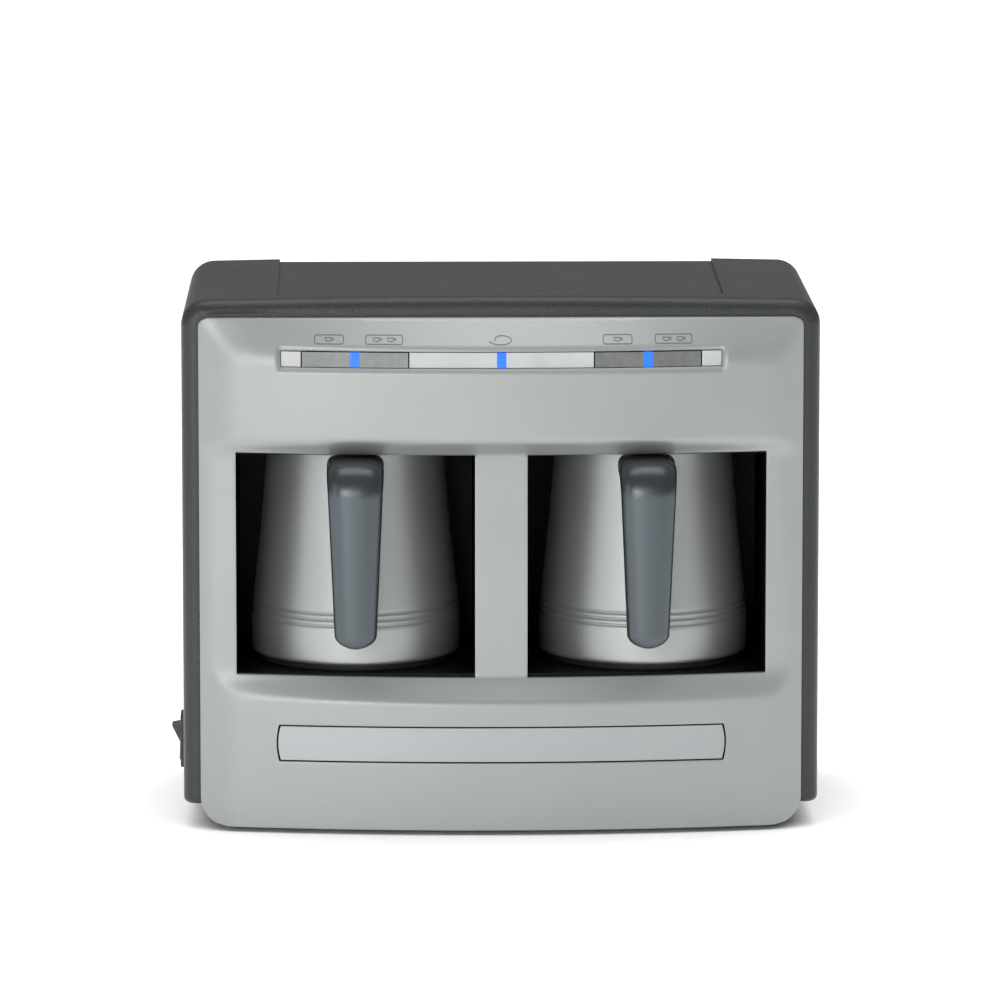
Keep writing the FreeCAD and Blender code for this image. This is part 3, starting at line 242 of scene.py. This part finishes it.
def noise(mat, scale, detail=3.0, stretch=(1, 1, 1)):
    node = mat.node_tree.nodes.new("ShaderNodeTexNoise")
    node.inputs["Scale"].default_value = scale
    node.inputs["Detail"].default_value = detail
    mat.node_tree.links.new(object_coords(mat, stretch), node.inputs["Vector"])
    return node.outputs["Fac"]


def cells(mat, scale):
    """Rounded cells of a leathery grain."""
    node = mat.node_tree.nodes.new("ShaderNodeTexVoronoi")
    node.feature = "SMOOTH_F1"
    node.inputs["Scale"].default_value = scale
    mat.node_tree.links.new(object_coords(mat), node.inputs["Vector"])
    return node.outputs["Distance"]


def bump(mat, height, strength, distance, before=None):
    """A bumped normal, which may be laid over one made before."""
    tree = mat.node_tree
    node = tree.nodes.new("ShaderNodeBump")
    node.inputs["Strength"].default_value = strength
    node.inputs["Distance"].default_value = distance
    tree.links.new(height, node.inputs["Height"])
    if before is not None:
        tree.links.new(before, node.inputs["Normal"])
    return node.outputs["Normal"]


def blend_range(mat, fac, low, high):
    """Spreads the middle part of a noise over the range from low to high."""
    node = mat.node_tree.nodes.new("ShaderNodeMapRange")
    node.inputs["From Min"].default_value = 0.3
    node.inputs["From Max"].default_value = 0.7
    node.inputs["To Min"].default_value = low
    node.inputs["To Max"].default_value = high
    mat.node_tree.links.new(fac, node.inputs["Value"])
    return node.outputs["Result"]


def mottle(mat, fac, dark, light):
    """Varies the base colour slowly between two near shades."""
    ramp = mat.node_tree.nodes.new("ShaderNodeValToRGB")
    ramp.color_ramp.elements[0].position = 0.35
    ramp.color_ramp.elements[1].position = 0.65
    ramp.color_ramp.elements[0].color = (*dark, 1)
    ramp.color_ramp.elements[1].color = (*light, 1)
    mat.node_tree.links.new(fac, ramp.inputs["Fac"])
    shader = mat.node_tree.nodes["Principled BSDF"]
    mat.node_tree.links.new(ramp.outputs["Color"], shader.inputs["Base Color"])


def to_shader(mat, socket, output):
    shader = mat.node_tree.nodes["Principled BSDF"]
    mat.node_tree.links.new(output, shader.inputs[socket])


def shade(color, by):
    return tuple(value * by for value in color)


def satin_paint(name, color, roughness, metallic):
    """Fine metallic paint: a slow change of shade, tiny flakes and a faint orange peel."""
    mat = new_material(name, color, roughness, metallic)
    mottle(mat, noise(mat, 18, 2), shade(color, 0.985), shade(color, 1.015))
    to_shader(mat, "Roughness", blend_range(mat, noise(mat, 900, 2), roughness - 0.04, roughness + 0.04))
    peel = bump(mat, noise(mat, 260, 2), 0.05, 0.0004)
    to_shader(mat, "Normal", bump(mat, noise(mat, 3500, 2), 0.06, 0.0001, peel))
    return mat


def grained_plastic(name, color, roughness, grain, depth):
    """Moulded plastic with a leathery grain."""
    mat = new_material(name, color, roughness)
    mottle(mat, noise(mat, 30, 4), shade(color, 0.94), shade(color, 1.06))
    patches = noise(mat, grain / 2, 3)
    to_shader(mat, "Roughness", blend_range(mat, patches, roughness - 0.07, roughness + 0.07))
    coarse = bump(mat, cells(mat, grain), depth, 0.0004)
    to_shader(mat, "Normal", bump(mat, noise(mat, grain * 2.2, 3), depth * 0.7, 0.0002, coarse))
    return mat


def smooth_plastic(name, color, roughness, **sockets):
    """Plain moulding with faint flow marks and a fine satin texture."""
    mat = new_material(name, color, roughness, **sockets)
    mottle(mat, noise(mat, 40, 3), shade(color, 0.94), shade(color, 1.06))
    to_shader(mat, "Roughness", blend_range(mat, noise(mat, 500, 2), roughness - 0.04, roughness + 0.04))
    to_shader(mat, "Normal", bump(mat, noise(mat, 1600, 2), 0.08, 0.0002))
    return mat


def bare_metal(name, color, roughness, stretch=(1, 1, 1), line=700):
    """Metal with fine drawn lines, which run along the axis with the small stretch."""
    mat = new_material(name, color, roughness, 1.0)
    marks = noise(mat, line, 3, stretch)
    to_shader(mat, "Roughness", blend_range(mat, marks, roughness - 0.06, roughness + 0.08))
    mottle(mat, noise(mat, 60, 3), shade(color, 0.93), shade(color, 1.05))
    to_shader(mat, "Normal", bump(mat, marks, 0.10, 0.00015))
    return mat


def lit_lens(name):
    """Lit blue light guide, of a deeper blue where its face turns away."""
    mat = new_material(name, (0.005, 0.06, 0.5), 0.25)
    tree = mat.node_tree
    facing = tree.nodes.new("ShaderNodeLayerWeight")
    facing.inputs["Blend"].default_value = 0.3
    ramp = tree.nodes.new("ShaderNodeValToRGB")
    ramp.color_ramp.elements[0].color = (0.002, 0.18, 1.0, 1)
    ramp.color_ramp.elements[1].color = (0.0, 0.04, 0.9, 1)
    tree.links.new(facing.outputs["Facing"], ramp.inputs["Fac"])
    to_shader(mat, "Emission Color", ramp.outputs["Color"])
    tree.nodes["Principled BSDF"].inputs["Emission Strength"].default_value = 0.85
    return mat


def make_materials():
    """One material for each slot of the record, and one for the printed signs."""
    # Near-black, darker than the plastic itself: in the bays this value also stands for painted shade.
    black = (0.004, 0.004, 0.0045)
    return {
        "wrap_plastic": grained_plastic("wrap_grain", (0.022, 0.0234, 0.0238), 0.34, 1500, 0.4),
        "panel_silver": satin_paint("panel_paint", (0.315, 0.336, 0.328), 0.42, 0.5),
        "nameplate_silver": satin_paint("plate_paint", (0.34, 0.365, 0.368), 0.36, 0.65),
        "print_grey": smooth_plastic("print_grey", (0.1, 0.105, 0.103), 0.5),
        "trim_grey": smooth_plastic("trim_plastic", (0.44, 0.455, 0.455), 0.38),
        "button_chrome": bare_metal("chrome_bar", (0.17, 0.176, 0.176), 0.16, (1, 1, 1), 300),
        "blue_lens": lit_lens("lens_blue"),
        "circuit_board": smooth_plastic("board_green", (0.02, 0.14, 0.05), 0.45),
        "inner_plastic": smooth_plastic("inner_black", (0.03, 0.03, 0.032), 0.5),
        # Bays: black plastic darkened further and with its specular turned low, as painted shade of the
        # deep bays under the hood.
        "bay_plastic": smooth_plastic("bay_black_and_painted_shade", black, 0.4, Specular_IOR_Level=0.12),
        "base_plastic": grained_plastic("base_dark", (0.028, 0.029, 0.03), 0.55, 1200, 0.25),
        "cover_plastic": grained_plastic("cover_grain", (0.05, 0.053, 0.053), 0.52, 1100, 0.35),
        "gland_plastic": smooth_plastic("gland_black", (0.02, 0.02, 0.02), 0.42),
        "switch_plastic": smooth_plastic("switch_black", (0.02, 0.02, 0.021), 0.3),
        "rocker_plastic": smooth_plastic("rocker_grey", (0.035, 0.036, 0.039), 0.26),
        "led_resin": new_material("led_blue", (0.15, 0.35, 0.8), 0.15),
        "screw_steel": bare_metal("screw_metal", (0.42, 0.42, 0.43), 0.35),
        "pin_steel": bare_metal("pin_metal", (0.5, 0.5, 0.51), 0.25),
        "foot_rubber": grained_plastic("foot_black", (0.02, 0.02, 0.02), 0.8, 1500, 0.3),
        "transformer_iron": smooth_plastic("transformer_dark", (0.09, 0.08, 0.07), 0.5),
        "relay_plastic": smooth_plastic("relay_blue", (0.02, 0.06, 0.22), 0.3),
        "capacitor_can": smooth_plastic("capacitor_sleeve", (0.02, 0.03, 0.05), 0.3),
        "terminal_plastic": smooth_plastic("terminal_green", (0.05, 0.22, 0.08), 0.45),
        "sensor_glass": new_material("sensor_window", (0.03, 0.004, 0.008), 0.08),
        "socket_plastic": smooth_plastic("socket_black", black, 0.5),
        "contact_brass": bare_metal("brass", (0.70, 0.50, 0.20), 0.25),
        "pot_silver": satin_paint("pot_paint", (0.42, 0.44, 0.435), 0.5, 0.78),
        "vessel_steel": bare_metal("vessel_metal", (0.60, 0.60, 0.59), 0.28, (1, 1, 0.04), 900),
        "pot_base_plastic": smooth_plastic("pot_foot_black", (0.02, 0.02, 0.021), 0.5),
        "heater_aluminium": bare_metal("heater_metal", (0.6, 0.6, 0.61), 0.4),
        "coil_steel": bare_metal("coil_metal", (0.22, 0.21, 0.2), 0.45),
        "handle_plastic": satin_paint("handle_grey", (0.095, 0.11, 0.12), 0.34, 0.9),
        "handle_inner_plastic": smooth_plastic("handle_inner", (0.012, 0.0125, 0.014), 0.5),
    }


materials = make_materials()


def dress_cad():
    """Gives each CAD node the material of its slot."""
    for part in frame["record"]["subparts"]:
        obj = nodes[part["node"]]
        obj.data.materials.clear()
        obj.data.materials.append(materials[part["material_slot"]])


# Front panel as one soft-edged surface
def soft_min(a, b, k):
    """The smaller of two depths, rounded off where they come within k of each other."""
    h = np.clip(k - np.abs(a - b), 0, None) / k
    return np.minimum(a, b) - h * h * k / 4


def soft_max(a, b, k):
    return -soft_min(-a, -b, k)


def shelf(x, pair):
    """Height of a line that curves from the pair's middle height to its height at the side."""
    middle, side = pair
    return middle + (side - middle) * (x / FACE_HALF) ** 2


def bow(x):
    """Depth of the face, which is an arc across the panel."""
    rise = FACE_MIDDLE - FACE_SIDE
    radius = (FACE_HALF**2 + rise**2) / (2 * rise)
    return FACE_MIDDLE - radius + np.sqrt(radius**2 - x**2)


def panel_depth(x, z):
    """How far the panel's face stands in front of the wrap's rim, in millimetres."""
    face = bow(x)
    slope = (FACE_SIDE - PANEL_EDGE) / (PANEL_HALF - FACE_HALF)
    side = PANEL_EDGE + slope * (PANEL_HALF - np.abs(x))
    crease = shelf(x, HOOD_CREASE)
    rise = (PANEL_TOP - z) / (PANEL_TOP - crease)
    top = TOP_FRONT + rise * (face - TOP_FRONT)
    waist_side = PANEL_EDGE + slope * (PANEL_HALF - WAIST_HALF)
    waist_middle = FACE_MIDDLE - WAIST_BACK
    waist = waist_middle - (waist_middle - waist_side) * (x / WAIST_HALF) ** 2
    lip_low, lip_high = shelf(x, LIP_LOW), shelf(x, LIP_HIGH)
    ledge_low, ledge_high = shelf(x, LEDGE_LOW), shelf(x, LEDGE_HIGH)
    lip = waist + (face - waist) * (z - lip_low) / (lip_high - lip_low)
    ledge = waist + (face - waist) * (ledge_high - z) / (ledge_high - ledge_low)
    middle = soft_max(waist, soft_max(lip, ledge, SHELF_BLEND), WAIST_BLEND)
    full = soft_min(soft_min(face, side, SIDE_BLEND), top, TOP_BLEND)
    height = np.clip((z - BLEND_FROM) / (BLEND_TO - BLEND_FROM), 0, 1)
    surface = soft_min(full, middle, LOW_BLEND + (HIGH_BLEND - LOW_BLEND) * height)
    slot_middle = (SLOT_LOW + SLOT_HIGH) / 2
    out = np.maximum(np.abs(x) - SLOT_HALF, np.abs(z - slot_middle) - (SLOT_HIGH - slot_middle))
    return surface - SLOT_BEVEL_DEEP * np.clip(1 - out / SLOT_BEVEL, 0, 1)


def corner_inset(z):
    """How much the panel's side comes in at this height for its round corners."""
    inset = np.zeros_like(z)
    for radius, away in ((FOOT_RADIUS, z - PANEL_BOTTOM), (TOP_RADIUS, PANEL_TOP - z)):
        gap = np.clip(radius - away, 0, radius)
        inset = np.maximum(inset, radius - np.sqrt(radius**2 - gap**2))
    return inset


def grid_lines(low, high, step, stops):
    """Evenly spread lines that pass through each stop."""
    marks = sorted({low, high, *stops})
    lines = []
    for a, b in zip(marks, marks[1:]):
        count = max(1, round((b - a) / step))
        lines += [a + (b - a) * i / count for i in range(count)]
    return np.array(lines + [high])


def warp_to_shelves(z, x):
    """Moves the rows at the window's sill and head onto their curved lines."""
    for pair, reach in ((LEDGE_HIGH, SILL_REACH), (LIP_LOW, HEAD_REACH)):
        offset = (pair[1] - pair[0]) * (x / FACE_HALF) ** 2
        weight = np.clip(1 - np.abs(z - pair[0]) / reach, 0, 1)
        z = z + offset * weight
    return z


def plate_swell(x, z):
    """How far the columns by the nameplate move out, for the rounded ends of its recess."""
    rows = (z > PLATE_LOW - 0.1) & (z < PLATE_HIGH + 0.1)
    middle = (PLATE_LOW + PLATE_HIGH) / 2
    swell = PLATE_END_BOW * (1 - ((z - middle) / (PLATE_HIGH - middle)) ** 2)
    near_end = np.clip(1 - np.abs(np.abs(x) - PLATE_HALF) / PLATE_END_REACH, 0, 1)
    return np.where(rows, np.sign(x) * swell * near_end, 0)


def in_opening(x, z):
    """Whether a place on the panel is in a window, the slot or the nameplate's recess."""
    window = WINDOW_IN < abs(x) < WINDOW_OUT and LEDGE_HIGH[0] < z < LIP_LOW[0]
    slot = abs(x) < SLOT_HALF and SLOT_LOW < z < SLOT_HIGH
    plate = abs(x) < PLATE_HALF and PLATE_LOW < z < PLATE_HIGH
    return window or slot or plate


def panel_grid():
    """Points and faces of the panel's outer surface, with its openings left out."""
    x_marks = (WINDOW_IN, WINDOW_OUT, SLOT_HALF, SLOT_HALF + SLOT_BEVEL, PLATE_HALF, FACE_HALF)
    x_stops = [sign * mark for mark in x_marks for sign in (-1, 1)]
    z_stops = [LEDGE_HIGH[0], LIP_LOW[0], SLOT_LOW, SLOT_HIGH, PLATE_LOW, PLATE_HIGH]
    z_stops += [SLOT_LOW - SLOT_BEVEL, SLOT_HIGH + SLOT_BEVEL]
    xs = grid_lines(-PANEL_HALF, PANEL_HALF, PANEL_COLUMN, x_stops)
    zs = grid_lines(PANEL_BOTTOM, PANEL_TOP, PANEL_ROW, z_stops)
    gx, gz = np.meshgrid(xs, zs)
    gz = np.where(np.abs(gx) < WAIST_HALF, warp_to_shelves(gz, gx), gz)
    band = FACE_HALF - CORNER_BAND
    share = np.clip((np.abs(gx) - band) / (PANEL_HALF - band), 0, 1)
    wx = gx - np.sign(gx) * share * corner_inset(gz)
    depth = panel_depth(wx, gz)
    wx = wx + plate_swell(gx, gz)
    points = [at(x, -d, z) for x, d, z in zip(wx.ravel(), depth.ravel(), gz.ravel())]
    across = len(xs)
    faces = []
    for j in range(len(zs) - 1):
        for i in range(across - 1):
            if in_opening((xs[i] + xs[i + 1]) / 2, (zs[j] + zs[j + 1]) / 2):
                continue
            a = j * across + i
            faces.append((a, a + 1, a + 1 + across, a + across))
    return points, faces


def front_panel():
    """The panel: its face, and walls that go back from its rim and its openings."""
    points, faces = panel_grid()
    obj = add_mesh("panel_face", points, faces, materials["panel_silver"], "casing")
    edit = bmesh.new()
    edit.from_mesh(obj.data)
    loose = [v for v in edit.verts if not v.link_faces]
    bmesh.ops.delete(edit, geom=loose, context="VERTS")
    rims = [e for e in edit.edges if e.is_boundary]
    made = bmesh.ops.extrude_edge_only(edit, edges=rims)
    back = [v for v in made["geom"] if isinstance(v, bmesh.types.BMVert)]
    for v in back:
        x = (v.co.x - ORIGIN_X) / MM
        z = v.co.z / MM
        beside = abs(x) > PANEL_HALF - OUTER_BAND
        if beside or z < PANEL_BOTTOM + EDGE_REACH or z > PANEL_TOP - EDGE_REACH:
            v.co.y = RIM_Y
        elif PLATE_LOW - EDGE_REACH < z < PLATE_HIGH + EDGE_REACH:
            v.co.y += PLATE_DEEP * MM
        else:
            v.co.y += PANEL_WALL * MM
    bmesh.ops.recalc_face_normals(edit, faces=edit.faces)
    edit.to_mesh(obj.data)
    edit.free()
    soften(obj, PANEL_ROUND, 3, 50)
    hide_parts("front_panel")


def soften(obj, width, segments, angle):
    """Small round edges on sharp corners."""
    bevel = obj.modifiers.new("round_edges", "BEVEL")
    bevel.width = width * MM
    bevel.segments = segments
    bevel.limit_method = "ANGLE"
    bevel.angle_limit = math.radians(angle)
    bevel.use_clamp_overlap = True


# Pots
def turned(name, profile, x, material, body, turns=160):
    """A turned skin from (radius, height) points, in millimetres."""
    points = []
    for i in range(turns):
        a = 2 * math.pi * i / turns
        points += [at(x + r * math.cos(a), POT_Y + r * math.sin(a), z) for r, z in profile]
    rows = len(profile)
    faces = []
    for i in range(turns):
        for j in range(rows - 1):
            a = i * rows + j
            b = (i + 1) % turns * rows + j
            faces.append((a, b, b + 1, a + 1))
    return add_mesh(name, points, faces, material, body)


def sleeve_profile():
    """Line of a pot from foot to neck, as (radius, height) points.

    It has a plain band, three soft grooves, a slightly hollow cone and a turned-in lip.
    """
    foot = ((1.6, 0.0), (0.7, 0.35), (0.15, 1.1), (0.0, 2.2))
    profile = [(BAND_RADIUS - inward, SLEEVE_BOTTOM + up) for inward, up in foot]
    z = SLEEVE_BOTTOM + 4.0
    cone_foot = GROOVE_HEIGHTS[-1] + GROOVE_STEP
    while z < cone_foot:
        fall = GROOVE_FALL * max(0.0, (z - GROOVE_HEIGHTS[0]) / GROOVE_STEP)
        dip = sum(math.exp(-(((z - g) / GROOVE_HALF) ** 2)) for g in GROOVE_HEIGHTS)
        profile.append((BAND_RADIUS - fall - GROOVE_DEEP * dip, z))
        z += 0.22 if z > GROOVE_HEIGHTS[0] - 2 else 1.5
    foot_radius = BAND_RADIUS - GROOVE_FALL * (cone_foot - GROOVE_HEIGHTS[0]) / GROOVE_STEP
    steps = 48
    for i in range(steps + 1):
        share = i / steps
        height = cone_foot + (SLEEVE_TOP + 0.3 - cone_foot) * share
        radius = NECK_RADIUS + (foot_radius - NECK_RADIUS) * (1 - share) ** CONE_HOLLOW
        profile.append((radius, height))
    lip = ((NECK_LIP / 2, 0.5), (NECK_LIP, 0.2), (NECK_LIP, -NECK_LIP_DEEP))
    return profile + [(NECK_RADIUS - inward, SLEEVE_TOP + up) for inward, up in lip]


def pot_skin(name, side):
    obj = turned(
        "pot_skin_" + name, sleeve_profile(), side * BAY_X, materials["pot_silver"],
        "pot_" + name,
    )
    outward(obj)
    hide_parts("pot_sleeve_" + name)


def handle_path(s):
    """Middle line of the handle at length s from the neck: its point and its outward normal."""
    if s < HANDLE_ARM:
        return ARM_START - s, ARM_Z, 0.0, 1.0
    if s < HANDLE_ARM + HANDLE_QUARTER:
        a = (s - HANDLE_ARM) / HANDLE_BEND
        y = -(HANDLE_FRONT - HANDLE_BEND) - HANDLE_BEND * math.sin(a)
        z = ARM_Z - HANDLE_BEND + HANDLE_BEND * math.cos(a)
        return y, z, -math.sin(a), math.cos(a)
    return -HANDLE_FRONT, ARM_Z - HANDLE_BEND - (s - HANDLE_ARM - HANDLE_QUARTER), -1.0, 0.0


def smooth_step(low, high, value):
    share = min(max((value - low) / (high - low), 0.0), 1.0)
    return share * share * (3 - 2 * share)


def power_round(a, half, power):
    """One coordinate of a rounded rectangle, squarer with a higher power."""
    c = math.cos(a)
    return half * math.copysign(abs(c) ** (2 / power), c)


def handle_skin(name, rings, section, x, material, body, caps=(True, True)):
    """A closed skin through rings of (across, outward) points at given lengths."""
    points = []
    for ring in rings:
        for across, out, s in ring:
            y, z, ny, nz = handle_path(s)
            points.append(at(x + across, y + ny * out, z + nz * out))
    count = section
    faces = []
    for i in range(len(rings) - 1):
        for j in range(count):
            a = i * count + j
            b = i * count + (j + 1) % count
            faces.append((a, b, b + count, a + count))
    if caps[0]:
        faces.append(tuple(range(count))[::-1])
    if caps[1]:
        last = (len(rings) - 1) * count
        faces.append(tuple(range(last, last + count)))
    obj = add_mesh(name, points, faces, material, body)
    outward(obj)
    return obj


def handle_shell(name, side):
    """Convex front shell of the grip, whose upper end is an arch over the bend."""
    section = 64
    steps = 110
    rings = []
    for i in range(steps + 1):
        ring = []
        share = math.sin(math.pi / 2 * i / steps)
        for j in range(section):
            a = 2 * math.pi * j / section
            c = power_round(a, 1.0, 2.5)
            start = HANDLE_ARM + SHELL_START + SHELL_ARCH * abs(c) ** 3
            s = start + (HANDLE_LENGTH - start) * share
            left = HANDLE_LENGTH - s
            taper = min(s - HANDLE_ARM, SHELL_TAPER_LENGTH) / SHELL_TAPER_LENGTH
            width = SHELL_HALF_WIDTH - SHELL_TAPER * taper
            front = HANDLE_HALF_THICK
            back = SHELL_BACK
            if left < HANDLE_END:
                round_end = math.sqrt(max(0.0, 1 - ((HANDLE_END - left) / HANDLE_END) ** 2))
                width *= max(round_end, 0.04)
                squeeze = 0.25 + 0.75 * round_end**0.7
                front *= squeeze
                back *= squeeze
            lift = power_round(a - math.pi / 2, front if math.sin(a) > 0 else back, 2.1)
            ring.append((c * width, lift, s))
        rings.append(ring)
    obj = handle_skin(
        "handle_shell_" + name, rings, section, side * BAY_X, materials["handle_plastic"],
        "pot_" + name, (False, True),
    )
    wall = obj.modifiers.new("wall", "SOLIDIFY")
    wall.thickness = SHELL_WALL * MM
    wall.offset = -1
    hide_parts("pot_handle_" + name)


def handle_core(name, side):
    """Dark core: the arm from the neck and the back of the grip, down to its square end."""
    section = 56
    steps = 90
    end = HANDLE_LENGTH - (CORE_BOTTOM - HANDLE_BOTTOM)
    rings = []
    for i in range(steps + 1):
        s = end * i / steps
        width = CORE_HALF_WIDTH - CORE_TAPER * smooth_step(HANDLE_ARM, end, s)
        drop = smooth_step(HANDLE_ARM + CORE_DROP_FROM, HANDLE_ARM + CORE_DROP_TO, s)
        front = CORE_FRONT - CORE_DROP * drop
        back = HANDLE_HALF_THICK
        ring = []
        for j in range(section):
            a = 2 * math.pi * j / section
            across = power_round(a, width, 3.4)
            lift = power_round(a - math.pi / 2, front if math.sin(a) > 0 else back, 3.0)
            ring.append((across, lift, s))
        rings.append(ring)
    obj = handle_skin(
        "handle_core_" + name, rings, section, side * BAY_X, materials["handle_inner_plastic"],
        "pot_" + name,
    )
    soften(obj, CORE_ROUND, 3, 50)
    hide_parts("handle_insert_" + name)


# Signs printed over the buttons
def ribbon(points, width, closed=False):
    """Flat line on the panel's face through points given across and up."""
    count = len(points)
    sides = []
    for i, (x, z) in enumerate(points):
        before = points[i - 1] if closed or i else points[i]
        after = points[(i + 1) % count] if closed or i < count - 1 else points[i]
        dx, dz = after[0] - before[0], after[1] - before[1]
        size = math.hypot(dx, dz) or 1.0
        nx, nz = -dz / size * width / 2, dx / size * width / 2
        sides.append(((x + nx, z + nz), (x - nx, z - nz)))
    verts = [q for pair in sides for q in pair]
    faces = []
    for i in range(count if closed else count - 1):
        a = 2 * i
        b = 2 * ((i + 1) % count)
        faces.append((a, b, b + 1, a + 1))
    return verts, faces


def rounded_frame(x, z, wide, tall, radius):
    """Outline of a rectangle with round corners."""
    points = []
    for cx, cz, start in ((1, 1, 0), (-1, 1, 90), (-1, -1, 180), (1, -1, 270)):
        for k in range(5):
            a = math.radians(start + 22.5 * k)
            points.append((
                x + cx * (wide / 2 - radius) + radius * math.cos(a),
                z + cz * (tall / 2 - radius) + radius * math.sin(a),
            ))
    return points


def bowl_lines(x, z):
    """A small bowl with its ear."""
    bowl = [(x - 1.9, z + 0.7), (x - 1.7, z - 0.1), (x - 1.0, z - 0.75)]
    bowl += [(x + 0.6, z - 0.75), (x + 1.3, z - 0.1), (x + 1.5, z + 0.7)]
    ear = [(x + 1.45, z + 0.45), (x + 2.2, z + 0.35), (x + 2.1, z - 0.15), (x + 1.3, z - 0.2)]
    return [(bowl, True), (ear, False)]


def curl_line():
    """An open curl, which narrows as it turns."""
    curl = []
    for a in np.linspace(-2.9, 3.4, 34):
        x = CURL_HALF_WIDE * math.cos(a) * (1 - a / 9)
        curl.append((x, PRINT_HEIGHT + CURL_HALF_TALL * math.sin(a) * (1 - a / 16)))
    return curl


def pictograms():
    """Frames with bowls over the buttons and a curl over the middle, laid on the panel."""
    lines = []
    for x, bowls in PRINT_FRAMES:
        frame_line = rounded_frame(x, PRINT_HEIGHT, FRAME_WIDE[bowls], FRAME_TALL, FRAME_RADIUS)
        lines.append((frame_line, True))
        for k in range(bowls):
            lines += bowl_lines(x + (k - (bowls - 1) / 2) * BOWL_PITCH, PRINT_HEIGHT)
    lines.append((curl_line(), False))
    points = []
    faces = []
    for path, closed in lines:
        verts, quads = ribbon(path, PRINT_LINE, closed)
        start = len(points)
        points += verts
        faces += [tuple(start + i for i in quad) for quad in quads]
    xs = np.array([q[0] for q in points])
    zs = np.array([q[1] for q in points])
    depth = panel_depth(xs, zs) + PRINT_LIFT
    placed = [at(x, -d, h) for x, d, h in zip(xs, depth, zs)]
    add_mesh("pictograms", placed, faces, materials["print_grey"], "casing", False)


# Stage
def stage_floor():
    mesh = bpy.data.meshes.new("floor")
    around = ((-1, -1), (1, -1), (1, 1), (-1, 1))
    corners = [(x * FLOOR_HALF, y * FLOOR_HALF, 0) for x, y in around]
    mesh.from_pydata(corners, [], [(0, 1, 2, 3)])
    floor = bpy.data.objects.new("floor", mesh)
    bpy.context.scene.collection.objects.link(floor)
    mesh.materials.append(new_material("floor_pale", (0.94, 0.94, 0.94), 0.6))


def soft_box(name, place, aim, size, power, glossy=True):
    """A rectangular light, which may be kept out of reflections."""
    light = bpy.data.lights.new(name, "AREA")
    light.shape = "RECTANGLE"
    light.size, light.size_y = size
    light.energy = power
    obj = bpy.data.objects.new(name, light)
    bpy.context.scene.collection.objects.link(obj)
    obj.location = place
    obj.visible_glossy = glossy
    turn = (Vector(aim) - Vector(place)).to_track_quat("-Z", "Y")
    obj.rotation_euler = turn.to_euler()


def lights():
    world = bpy.data.worlds.new("studio")
    bpy.context.scene.world = world
    world.use_nodes = True
    background = world.node_tree.nodes["Background"]
    background.inputs["Color"].default_value = (1, 1, 1, 1)
    background.inputs["Strength"].default_value = WORLD_LIGHT
    soft_box("ceiling", (0, 1.0, 3.0), (0, 1.0, 0), (7.0, 9.0), 385, False)
    soft_box("front", (-0.62, -2.2, 0.55), LIGHT_AIM, (1.0, 0.7), 13)
    soft_box("left", (-1.9, -1.2, 0.7), LIGHT_AIM, (0.7, 1.1), 3.5)
    soft_box("top", (0.0, 0.1, 1.9), LIGHT_AIM, (1.6, 1.0), 10)


def camera():
    data = bpy.data.cameras.new("camera")
    data.lens = CAMERA_LENS
    data.sensor_width = CAMERA_SENSOR
    data.clip_end = CAMERA_REACH
    obj = bpy.data.objects.new("camera", data)
    bpy.context.scene.collection.objects.link(obj)
    az = math.radians(CAMERA_AZIMUTH)
    el = math.radians(CAMERA_ELEVATION)
    back = Vector((math.sin(az) * math.cos(el), -math.cos(az) * math.cos(el), math.sin(el)))
    aim = at(*CAMERA_AIM)
    obj.location = aim + back * CAMERA_DISTANCE
    obj.rotation_euler = (-back).to_track_quat("-Z", "Y").to_euler()
    bpy.context.scene.camera = obj


camera()
lights()
stage_floor()
dress_cad()
front_panel()
pictograms()
for side_name, side_sign in SIDES.items():
    pot_skin(side_name, side_sign)
    handle_shell(side_name, side_sign)
    handle_core(side_name, side_sign)
for node_name in SOFT_NODES:
    soften(nodes[node_name], SMALL_ROUND, 2, 40)
soften(nodes["outer_wrap"], WRAP_ROUND, 3, 60)
bpy.context.scene.view_settings.view_transform = "Standard"
